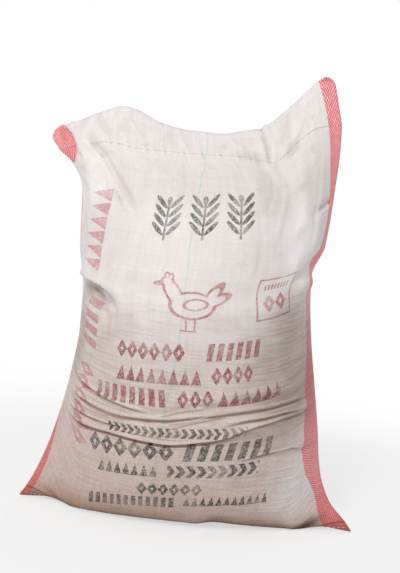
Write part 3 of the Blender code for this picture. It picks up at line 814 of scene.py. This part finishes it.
def ovals(right, up, table):
    """How far outside the nearest of several ovals a point lies, in metres."""
    nearest = None
    for middle_right, middle_up, half_length, half_width, turn in table:
        c, s = math.cos(math.radians(turn)), math.sin(math.radians(turn))
        off_right = right - (HEN_PLACE[0] + middle_right)
        off_up = up - (HEN_PLACE[1] + middle_up)
        length = off_right * (c / half_length) + off_up * (s / half_length)
        width = off_right * (-s / half_width) + off_up * (c / half_width)
        reach = math_node("SQRT", length * length + width * width)
        outside = (reach - 1.0) * half_width
        nearest = outside if nearest is None else math_node("MINIMUM", nearest, outside)
    return nearest


def hen(right, up):
    """The hen's outline, wing and legs."""
    body = abs(ovals(right, up, HEN_OVALS)) < HEN_LINE
    wing = abs(ovals(right, up, HEN_WING)) < HEN_LINE / 1.4
    legs = ovals(right, up, HEN_LEGS) < 0.0
    return body | wing | legs


# Rows of print as (shape, left, right, bottom, top, pitch, lean), on lines that rise a little to the right.
PRINT_RISE = 0.11
RED_ROWS = (
    ("Lozenges", -0.145, -0.013, 0.453, 0.486, 0.022, 0.0), ("Bars", 0.02, 0.126, 0.453, 0.486, 0.0177, 0.3),
    ("Peaks", -0.14, 0.018, 0.407, 0.44, 0.0198, 0.0), ("Lozenges", 0.034, 0.112, 0.407, 0.44, 0.0195, 0.0),
    ("Bars", -0.18, -0.036, 0.361, 0.395, 0.018, -0.3),
    ("Lozenges", -0.022, 0.04, 0.361, 0.395, 0.0206, 0.0),
    ("Peaks", 0.046, 0.174, 0.361, 0.395, 0.0213, 0.0),
)
GREY_ROWS = (
    ("Chevrons", -0.142, 0.1, 0.299, 0.319, 0.0134, 0.0),
    ("Lozenges", -0.19, -0.02, 0.25, 0.286, 0.0283, 0.0), ("Bars", -0.01, 0.156, 0.25, 0.286, 0.0237, 0.3),
    ("Peaks", -0.166, -0.046, 0.214, 0.24, 0.0171, 0.0),
    ("Chevrons", -0.03, 0.136, 0.214, 0.24, 0.0184, 0.0), ("Lozenges", -0.084, 0.036, 0.174, 0.2, 0.02, 0.0),
    ("Bars", -0.184, -0.01, 0.144, 0.168, 0.0145, 0.0), ("Peaks", 0.004, 0.168, 0.148, 0.172, 0.0149, 0.0),
)
# The slanted column at the left, as (shape, bottom, top, right, left), with one pitch and lean.
SIDE_BLOCKS = (
    ("Lozenges", 0.222, 0.398, 0.198, 0.252), ("Bars", 0.425, 0.565, 0.204, 0.258),
    ("Peaks", 0.6, 0.768, 0.204, 0.262),
)
SIDE_PITCH = 0.028
SIDE_LEAN = 0.35
EAR_PRINT = {"From": -0.108, "To": 0.102, "Low": 0.69, "High": 0.776, "Pitch": 0.07}
FRAME_PRINT = (0.118, 0.2, 0.522, 0.608)
FRAME_LINE = 0.0019
FRAME_MARGIN = 0.012

# Edges of the red stripes on the front, and the coloured warp tape, as (distance up the cloth, distance
# right of the middle). The sack has turned a little about its side folds, so the stripes vary in width.
RIGHT_EDGE = (
    (0.0, 0.258), (0.04, 0.264), (0.065, 0.273), (0.108, 0.281), (0.145, 0.275), (0.191, 0.258),
    (0.257, 0.244), (0.304, 0.246), (0.368, 0.253), (0.437, 0.266), (0.52, 0.266), (0.6, 0.258),
    (0.66, 0.276), (0.73, 0.288), (0.8, 0.279), (0.88, 0.274), (MOUTH_AT, 0.264),
)
LEFT_EDGE = (
    (0.0, -0.289), (0.08, -0.291), (0.13, -0.293), (0.2, -0.3), (0.3, -0.312), (0.6, -0.312),
    (0.65, -0.3035), (0.77, -0.3035), (0.814, -0.31), (0.836, -0.29), (0.856, -0.268), (0.88, -0.264),
    (0.899, -0.276), (MOUTH_AT, -0.298),
)
MIDDLE_TAPE = (
    (0.0, -0.046), (0.12, -0.046), (0.24, -0.05), (0.35, -0.04), (0.48, -0.026), (0.59, -0.017),
    (0.68, -0.022), (0.8, -0.014), (0.863, 0.017), (MOUTH_AT, 0.029),
)
MIDDLE_TAPE_HALF = 0.0016

# Width of the back's left and right stripe, and how much narrower its left one is at the mouth.
BACK_STRIPES = (0.03, 0.015)
BACK_STRIPE_CUT = 0.024

# The edges go into curves that run from minus this to plus this.
EDGE_RANGE = 0.32

# Smudges of dust, some also painted shade (in the left crease, low at both front corners and on the
# right of the belly), a cleaner patch low down, a painted shadow above the hem, and two patches of painted
# light where the tape is painted paler, as (right, along, half width, half height, share).
DUST_AND_SHADE_SMUDGES = (
    (0.235, 0.45, 0.12, 0.17, 0.7), (0.195, 0.38, 0.15, 0.05, 0.5), (-0.1, 0.43, 0.24, 0.09, 0.2),
    (0.11, 0.8, 0.16, 0.07, 0.14), (0.118, 0.866, 0.048, 0.016, 0.24), (0.202, 0.862, 0.018, 0.012, 0.34),
    (-0.285, 0.44, 0.05, 0.13, 0.55), (-0.24, 0.562, 0.058, 0.013, 0.9), (0.15, 0.3, 0.13, 0.03, 0.34),
    (0.24, 0.06, 0.055, 0.034, 1.0), (-0.2, 0.05, 0.07, 0.022, 0.95), (-0.292, 0.87, 0.034, 0.05, 0.12),
    (0.205, 0.5, 0.085, 0.11, 0.78), (0.175, 0.465, 0.1, 0.11, 0.56), (-0.02, 0.795, 0.26, 0.06, 0.13),
)
SMUDGE_EDGE = (1.15, 0.25)
# A patch of painted shadow above the hem at the front's right corner, under the overhanging belly.
PAINTED_SHADOW_ABOVE_HEM = (0.232, 0.057, 0.06, 0.029, 1.0)
CLEANER = (0.245, 0.175, 0.11, 0.13, 0.95)
PAINTED_LIGHT_PATCHES = ((0.205, 0.665, 0.06, 0.12, 0.75), (-0.25, 0.8, 0.06, 0.09, 0.75))

# Colours of the tape, darkest and palest, of the gaps between tapes, and of the inks.
OFF_WHITE = ((0.755, 0.687, 0.668, 1), (0.893, 0.845, 0.835, 1))
GAPS = (0.45, 0.38, 0.34, 1)
# The pale colour of the two patches of painted light.
PAINTED_LIGHT_PALE = (0.96, 0.94, 0.93, 1)
MIDDLE_TAPE_GREEN = (0.42, 0.66, 0.58, 1)
RED_UPRIGHT = ((0.7, 0.075, 0.095, 1), (0.86, 0.15, 0.17, 1))
RED_CROSSED = ((0.86, 0.36, 0.38, 1), (0.92, 0.62, 0.62, 1))
RED_INK = (0.33, 0.055, 0.065, 1)
SIDE_INK = (0.56, 0.1, 0.14, 1)
FINE_INK = (0.42, 0.07, 0.09, 1)
GREY_INK = (0.035, 0.03, 0.028, 1)

# Colours that darken the cloth: dust and painted shade in smudges, dust rubbed along the weft, low down,
# on the rim it stands on and between the tapes, then painted shadow above the hem, painted shade along the
# hem's fold, the hem, dust and painted shade in the creases, and dust and painted contact shadow where the
# cloth touches the floor.
SMUDGE_DUST_AND_SHADE = (0.5, 0.41, 0.36, 1)
RUBBED_DUST = (0.7, 0.62, 0.57, 1)
LOW_DUST = (0.8, 0.665, 0.6, 1)
RIM_DUST = (0.67, 0.51, 0.37, 1)
WEAVE_DUST = (0.66, 0.54, 0.47, 1)
PAINTED_SHADOW_BROWN = (0.17, 0.125, 0.085, 1)
HEM_FOLD_SHADE_BROWN = (0.34, 0.22, 0.17, 1)
HEM_BROWN = (0.4, 0.3, 0.24, 1)
TUCKED_DUST_AND_SHADE = (0.6, 0.47, 0.4, 1)
FLOOR_DUST_AND_CONTACT_SHADE = (0.42, 0.33, 0.27, 1)
SPOT_BROWN = (0.52, 0.4, 0.33, 1)


def edge_at(tree, along, table):
    """A place across the cloth that changes smoothly up it."""
    node = tree.nodes.new("ShaderNodeFloatCurve")
    line = node.mapping.curves[0]
    points = [(up / MOUTH_AT, (right + EDGE_RANGE) / (2 * EDGE_RANGE)) for up, right in table]
    line.points[0].location = points[0]
    line.points[1].location = points[-1]
    for point in points[1:-1]:
        line.points.new(*point)
    node.mapping.update()
    linked(tree, node.inputs["Value"], along / MOUTH_AT)
    return (Amount(node.outputs[0]) - 0.5) * (2 * EDGE_RANGE)


def smudge(right, along, clouds, middle, up_at, half_width, half_height, share):
    """A soft cloudy patch on the front of the cloth, between 0 and its share."""
    across = (right - middle) / half_width
    upward = (along - up_at) / half_height
    out = math_node("SQRT", across * across + upward * upward) + (clouds - 0.5)
    return out.step(*SMUDGE_EDGE) * share


def stretched(tree, place_at, times):
    """A place on the cloth, longer or shorter in each direction."""
    node = tree.nodes.new("ShaderNodeVectorMath")
    node.operation = "MULTIPLY"
    node.inputs[1].default_value = times
    linked(tree, node.inputs[0], place_at)
    return node.outputs[0]


def split(tree, place_at):
    """The three numbers of a place."""
    node = tree.nodes.new("ShaderNodeSeparateXYZ")
    linked(tree, node.inputs[0], place_at)
    return [Amount(output) for output in node.outputs]


def bump(tree, height, distance, strength, normal=None):
    """Fine relief on top of what relief there is."""
    node = tree.nodes.new("ShaderNodeBump")
    for name, value in (("Height", height), ("Distance", distance), ("Strength", strength)):
        linked(tree, node.inputs[name], value)
    if normal is not None:
        linked(tree, node.inputs["Normal"], normal)
    return node.outputs[0]


def row_print(tree, row_group, table, across_print, up_print):
    """The ink of several stamped rows."""
    inked = None
    for shape, left, edge, low, high, pitch, lean in table:
        row = place_group(tree, row_group, Right=across_print, Up=up_print, From=left, To=edge, Low=low,
                          High=high, Pitch=pitch, Lean=lean)[shape]
        inked = row if inked is None else inked | row
    return inked


def framed_print(tree, row_group, right, line_up):
    """A thin frame with two lozenges and a row of short bars in it."""
    left, edge, low, high = FRAME_PRINT
    off_right = abs(right - (left + edge) / 2)
    off_up = abs(line_up - (low + high) / 2)
    out_of_frame = (off_right - (edge - left) / 2) | (off_up - (high - low) / 2)
    start, end = left + FRAME_MARGIN, edge - FRAME_MARGIN
    inside = (
        ("Lozenges", start, end, low + 0.014, low + 0.05, 0.029, 0.0),
        ("Bars", start, end, high - 0.024, high - 0.012, 0.0073, 0.0),
    )
    return (abs(out_of_frame) < FRAME_LINE) | row_print(tree, row_group, inside, right, line_up)


def woven_cloth():
    """The finish of the woven plastic cloth with its stripes, print, dust, and painted light and shade."""
    look = bpy.data.materials.new("woven plastic cloth")
    look.use_nodes = True
    tree = look.node_tree
    shader = tree.nodes["Principled BSDF"]
    uv = tree.nodes.new("ShaderNodeUVMap")
    uv.uv_map = "cloth"
    chart = uv.outputs[0]
    round_sack, along, _ = split(tree, chart)
    solid_place = tree.nodes.new("ShaderNodeTexCoord").outputs["Object"]
    _, _, up = split(tree, solid_place)
    on_front = round_sack < CLOTH_WIDTH
    on_back = 1.0 - on_front
    right = round_sack - CLOTH_WIDTH / 2
    back_right = 1.5 * CLOTH_WIDTH - round_sack
    weave = place_group(tree, plain_weave(), Round=round_sack, Along=along, Tape=TAPE)
    clouds = cloudy(tree, solid_place, 6.0, 5.0)
    warp_streaks = cloudy(tree, stretched(tree, chart, (5.0, 0.9, 1.0)), 9.0, 4.0, "2D")
    weft_streaks = cloudy(tree, stretched(tree, chart, (1.0, 9.0, 1.0)), 16.0, 4.0, "2D")

    # Off-white tape, each a little lighter or darker than the next, and painted paler in two patches as
    # painted light.
    tone = weave["Tape Shade"] * 0.45 + warp_streaks * 0.55
    colour = blend(tree, tone, *OFF_WHITE)
    colour = blend(tree, weave["Height"].step(0.55, 0.0) * 0.3, colour, GAPS)
    for patch in PAINTED_LIGHT_PATCHES:
        colour = blend(tree, smudge(right, along, clouds, *patch) * on_front, colour, PAINTED_LIGHT_PALE)

    # The coloured warp tape.
    off_tape = abs(right - edge_at(tree, along, MIDDLE_TAPE))
    taped = (off_tape < MIDDLE_TAPE_HALF) * (weave["Upright"] * 0.5 + 0.15)
    colour = blend(tree, taped, colour, MIDDLE_TAPE_GREEN)

    # Stripes: red upright tape under white tape across it. The back's left stripe narrows at the mouth.
    in_right = on_front * (right > edge_at(tree, along, RIGHT_EDGE))
    in_left = on_front * (right < edge_at(tree, along, LEFT_EDGE))
    narrowed = along.step(0.875, 0.895) * BACK_STRIPE_CUT
    back_left = back_right < BACK_STRIPES[0] - CLOTH_WIDTH / 2 - narrowed
    back_edges = (back_right > CLOTH_WIDTH / 2 - BACK_STRIPES[1]) | back_left
    striped = in_right | in_left | on_back * back_edges
    red_tape = blend(tree, weave["Tape Shade"], *RED_UPRIGHT)
    cross_tape = blend(tree, weave["Cell Shade"], *RED_CROSSED)
    colour = blend(tree, striped, colour, blend(tree, weave["Upright"], cross_tape, red_tape))

    # Print: ink on the raised tape, rubbed thin in places.
    line_up = along - right * PRINT_RISE
    row_group = stamped_row()
    red_rows = row_print(tree, row_group, RED_ROWS, right, line_up)
    ears = place_group(tree, grain_ear(), Right=right, Up=line_up, **EAR_PRINT)["Ears"]
    grey_rows = row_print(tree, row_group, GREY_ROWS, right, line_up) | ears
    side_rows = [(*block, SIDE_PITCH, SIDE_LEAN) for block in SIDE_BLOCKS]
    side_print = row_print(tree, row_group, side_rows, along, right * -1.0)
    fine_print = framed_print(tree, row_group, right, line_up) | hen(right, along)
    worn = cloudy(tree, chart, 26.0, 4.0, "2D").step(0.28, 0.62)
    taken = (weave["Height"] + weave["Cell Shade"] * 0.9).step(0.35, 1.15)
    ink_share = taken * on_front * (worn * 0.38 + 0.62)
    for inked, share, ink in ((red_rows, 1.0, RED_INK), (side_print, 0.72, SIDE_INK),
                              (fine_print, 0.9, FINE_INK), (grey_rows, 1.0, GREY_INK)):
        colour = blend(tree, inked * share * ink_share, colour, ink)

    # Dust: thicker towards the base, in clouds, with a brown rim where the sack has stood, and smudges of
    # dust and painted shade.
    cleaner = smudge(right, along, clouds, *CLEANER) * on_front
    low_down = (up + clouds * 0.22).step(0.6, 0.1) * (1.0 - cleaner)
    dust_and_shade_smudged = None
    for one in DUST_AND_SHADE_SMUDGES:
        mark = smudge(right, along, clouds, *one)
        dust_and_shade_smudged = mark if dust_and_shade_smudged is None else dust_and_shade_smudged | mark
    dust_and_shade_smudged = math_node("MULTIPLY", dust_and_shade_smudged, weft_streaks * 0.9 + 0.55, limit=True)
    rubbed = weft_streaks.step(0.44, 0.68) * along.step(0.62, 0.5) * (1.0 - cleaner)
    rim = (up + clouds * 0.06).step(0.085, 0.025)

    # Painted shadow above the hem, the hem and painted shade along its fold, dust and painted shade on the
    # low side of each crease, and dust and painted contact shadow where the cloth touches the floor.
    plain = 1.0 - striped * 0.7
    painted_hem_shadow = smudge(right, along, clouds, *PAINTED_SHADOW_ABOVE_HEM) * on_front * plain
    # Painted shade: a thin dark line along the fold at the top of the hem.
    hem_fold_shade = abs(along - (HEM_WIDTH + 0.003)).step(0.004, 0.001) * on_front
    hem = along.step(HEM_WIDTH + 0.002, HEM_WIDTH - 0.004) * (on_front * plain)
    tucked = tree.nodes.new("ShaderNodeAttribute")
    tucked.attribute_name = "tucked"
    # Dust and painted shade on the tucked-in low side of each crease, stronger low down than on the upper
    # cloth.
    tucked_dust_and_shade_share = along.step(0.72, 0.6) * 0.5 + 0.22
    # Dust and painted contact shadow where the cloth touches the floor.
    floor_dust_and_contact_shade = up.step(0.016, 0.002) * 0.7 * plain
    for share, tint in (
            (dust_and_shade_smudged * on_front, SMUDGE_DUST_AND_SHADE), (rubbed * 0.25, RUBBED_DUST), (low_down * 0.85, LOW_DUST),
            (rim * 0.78, RIM_DUST), (low_down * weave["Cell Shade"] * 0.42, WEAVE_DUST),
            (painted_hem_shadow, PAINTED_SHADOW_BROWN), (hem_fold_shade * 0.75, HEM_FOLD_SHADE_BROWN), (hem * (clouds * 0.5 + 0.3), HEM_BROWN),
            (Amount(tucked.outputs["Fac"]) * tucked_dust_and_shade_share, TUCKED_DUST_AND_SHADE), (floor_dust_and_contact_shade, FLOOR_DUST_AND_CONTACT_SHADE)):
        colour = blend(tree, share, colour, tint, "MULTIPLY")
    spots = cloudy(tree, solid_place, 42.0, 4.0).step(0.6, 0.74)
    colour = blend(tree, spots * 0.22, colour, SPOT_BROWN)
    linked(tree, shader.inputs["Base Color"], colour)
    linked(tree, shader.inputs["Roughness"], low_down * 0.2 + (weave["Tape Shade"] * 0.1 + 0.44))

    # Relief: small crinkles of the stiff tape, fine ripples along the weft on the belly, and the weave.
    crinkle = abs(cloudy(tree, chart, 30.0, 3.0, "2D") - 0.5)
    rippled = along.step(0.5, 0.4) * along.step(0.06, 0.14)
    rippled = rippled * ((right.step(0.02, 0.17) * 0.65 + 0.35) * on_front)
    relief = bump(tree, crinkle, 0.006, 0.3)
    relief = bump(tree, weft_streaks, 0.004, rippled, relief)
    relief = bump(tree, weave["Height"], 0.00025, 0.55, relief)
    linked(tree, shader.inputs["Normal"], relief)
    return look


sack.data.materials.append(woven_cloth())
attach(sack, "root")
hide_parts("sack")


# The stitching
# Cream bag thread closes the mouth in one long row, and holds the turned-up hem. It is two-thread chain
# stitch: single dashes on the front of the cloth, and a chain of loops on the back.
STITCH = 0.0085
STITCH_GAP = 0.0016
STITCH_LIFT = 0.0002
SEAM_POINTS = 1200
THREAD = 0.001
CLOSING_ENDS = (-0.93, 0.97)
HEM_ENDS = (-0.98, 0.98)
CREAM = (0.88, 0.8, 0.64, 1)
SOILED_CREAM = (0.72, 0.58, 0.4, 1)
STRAND_GROOVE_SHADE = (0.45, 0.34, 0.22, 1)


def row_of_stitches(name, along_at, ends, face_side):
    """Stitches set end to end along a seam, each sunk into the cloth at its two ends."""
    steps = np.linspace(ends[0], ends[1], SEAM_POINTS)
    at = np.full(steps.shape, along_at)
    side = np.full(steps.shape, face_side)
    line = place(steps, at, side) - under_middle + smooth_normal(steps, at, side) * STITCH_LIFT
    gone = np.concatenate([[0], np.cumsum(np.linalg.norm(np.diff(line, axis=0), axis=1))])
    bm = bmesh.new()
    for start in np.arange(0, gone[-1] - STITCH, STITCH):
        first = Vector([np.interp(start + STITCH_GAP / 2, gone, line[:, k]) for k in range(3)])
        last = Vector([np.interp(start + STITCH - STITCH_GAP / 2, gone, line[:, k]) for k in range(3)])
        turn = (last - first).to_track_quat("X", "Z").to_matrix().to_4x4()
        size = Matrix.Diagonal(((last - first).length / 2, THREAD / 2, THREAD / 2, 1))
        bmesh.ops.create_uvsphere(bm, u_segments=8, v_segments=6, radius=1,
                                  matrix=Matrix.Translation((first + last) / 2) @ turn @ size)
    for polygon in bm.faces:
        polygon.smooth = True
    mesh = bpy.data.meshes.new(name)
    bm.to_mesh(mesh)
    bm.free()
    made = bpy.data.objects.new(name, mesh)
    bpy.context.scene.collection.objects.link(made)
    return made


def bag_thread():
    """Twisted cotton thread, soiled in places."""
    look = bpy.data.materials.new("cream bag thread")
    look.use_nodes = True
    tree = look.node_tree
    solid_place = tree.nodes.new("ShaderNodeTexCoord").outputs["Object"]
    soil = cloudy(tree, solid_place, 60.0, 3.0).step(0.42, 0.62)
    twist = tree.nodes.new("ShaderNodeTexWave")
    twist.bands_direction = "DIAGONAL"
    twist.inputs["Scale"].default_value = 420.0
    tree.links.new(solid_place, twist.inputs["Vector"])
    shader = tree.nodes["Principled BSDF"]
    colour = blend(tree, soil, CREAM, SOILED_CREAM)
    strands = Amount(twist.outputs["Fac"])
    # Painted shade in the grooves between the twisted strands.
    colour = blend(tree, strands * 0.15, colour, STRAND_GROOVE_SHADE)
    linked(tree, shader.inputs["Base Color"], colour)
    shader.inputs["Roughness"].default_value = 0.85
    linked(tree, shader.inputs["Normal"], bump(tree, strands, 0.0003, 1.0))
    return look


thread_look = bag_thread()
for name, node, along_at, ends in (
        ("closing_stitches", "top_closing_thread", SEAM_AT, CLOSING_ENDS),
        ("hem_stitches", "bottom_hem_thread", HEM_STITCH_AT, HEM_ENDS)):
    stitches = row_of_stitches(name, along_at, ends, -1)
    stitches.data.materials.append(thread_look)
    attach(stitches, "root")
    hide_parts(node)
    chain = row_of_stitches(name + "_chain", along_at, ends, 1)
    chain.data.materials.append(thread_look)
    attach(chain, "root")


# The room
# A plain pale floor that whitens into the background, soft light from high above the front, and the camera
# as the photograph was taken: a little above the sack, and turned a few degrees about its line of sight.
FLOOR_SIZE = 12
FLOOR_GREY = (0.88, 0.88, 0.88, 1)
WHITE_FROM = 0.45
WHITE_AT = 1.3
GLOW_NEAR = 0.58
floor_bm = bmesh.new()
bmesh.ops.create_grid(floor_bm, x_segments=1, y_segments=1, size=FLOOR_SIZE)
floor_mesh = bpy.data.meshes.new("floor")
floor_bm.to_mesh(floor_mesh)
floor_bm.free()
floor = bpy.data.objects.new("floor", floor_mesh)
bpy.context.scene.collection.objects.link(floor)


def seen_directly(tree):
    """1 for what the camera sees, straight, mirrored or through glass, and 0 for the light on the object."""
    light_path = tree.nodes.new("ShaderNodeLightPath").outputs
    camera_ray, glossy_ray, glass_ray = (
        Amount(light_path[f"Is {kind} Ray"]) for kind in ("Camera", "Glossy", "Transmission"))
    return math_node("ADD", camera_ray + glossy_ray, glass_ray, limit=True)


floor_look = bpy.data.materials.new("pale floor")
floor_look.use_nodes = True
floor_tree = floor_look.node_tree
floor_shader = floor_tree.nodes["Principled BSDF"]
floor_shader.inputs["Base Color"].default_value = FLOOR_GREY
floor_shader.inputs["Roughness"].default_value = 0.9
glow = floor_tree.nodes.new("ShaderNodeEmission")
glow.inputs["Strength"].default_value = 1.0
from_middle = floor_tree.nodes.new("ShaderNodeVectorMath")
from_middle.operation = "LENGTH"
floor_tree.links.new(floor_tree.nodes.new("ShaderNodeTexCoord").outputs["Object"], from_middle.inputs[0])
far_off = Amount(from_middle.outputs["Value"]).step(WHITE_FROM, WHITE_AT)
whiter = (far_off * (1 - GLOW_NEAR) + GLOW_NEAR) * seen_directly(floor_tree)
floor_mix = floor_tree.nodes.new("ShaderNodeMixShader")
linked(floor_tree, floor_mix.inputs[0], whiter)
floor_tree.links.new(floor_shader.outputs[0], floor_mix.inputs[1])
floor_tree.links.new(glow.outputs[0], floor_mix.inputs[2])
floor_tree.links.new(floor_mix.outputs[0], floor_tree.nodes["Material Output"].inputs["Surface"])
floor_mesh.materials.append(floor_look)

WORLD_LIGHT = 0.53
world = bpy.data.worlds.new("room")
world.use_nodes = True
background = world.node_tree.nodes["Background"]
background.inputs["Color"].default_value = (1, 1, 1, 1)
brightness = seen_directly(world.node_tree) * (1 - WORLD_LIGHT) + WORLD_LIGHT
linked(world.node_tree, background.inputs["Strength"], brightness)
bpy.context.scene.world = world


def soft_light(name, place_at, aim, size, watts):
    """A square lamp that faces a point."""
    lamp = bpy.data.lights.new(name, "AREA")
    lamp.size = size
    lamp.energy = watts
    lit = bpy.data.objects.new(name, lamp)
    lit.location = place_at
    lit.rotation_euler = (Vector(aim) - Vector(place_at)).to_track_quat("-Z", "Y").to_euler()
    bpy.context.scene.collection.objects.link(lit)


LIT_POINT = (0, 0, 0.4)
soft_light("key", (-0.9, -2.0, 2.4), LIT_POINT, 0.8, 38)
soft_light("from behind", (0.9, 2.4, 2.2), LIT_POINT, 1.2, 14)

ELEVATION = math.radians(7.75)
ROLL = math.radians(6.15)
DISTANCE = 2.4
AIM = (-0.0168, 0.0, 0.4318)
LENS = 115.0
SENSOR = 36
camera_data = bpy.data.cameras.new("camera")
camera_data.lens = LENS
camera_data.sensor_fit = "HORIZONTAL"
camera_data.sensor_width = SENSOR
camera = bpy.data.objects.new("camera", camera_data)
ahead = Vector((0, math.cos(ELEVATION), -math.sin(ELEVATION)))
turn = ahead.to_track_quat("-Z", "Y").to_matrix() @ Matrix.Rotation(ROLL, 3, "Z")
camera.matrix_world = Matrix.Translation(Vector(AIM) - ahead * DISTANCE) @ turn.to_4x4()
bpy.context.scene.collection.objects.link(camera)
bpy.context.scene.camera = camera
bpy.context.scene.view_settings.view_transform = "Standard"
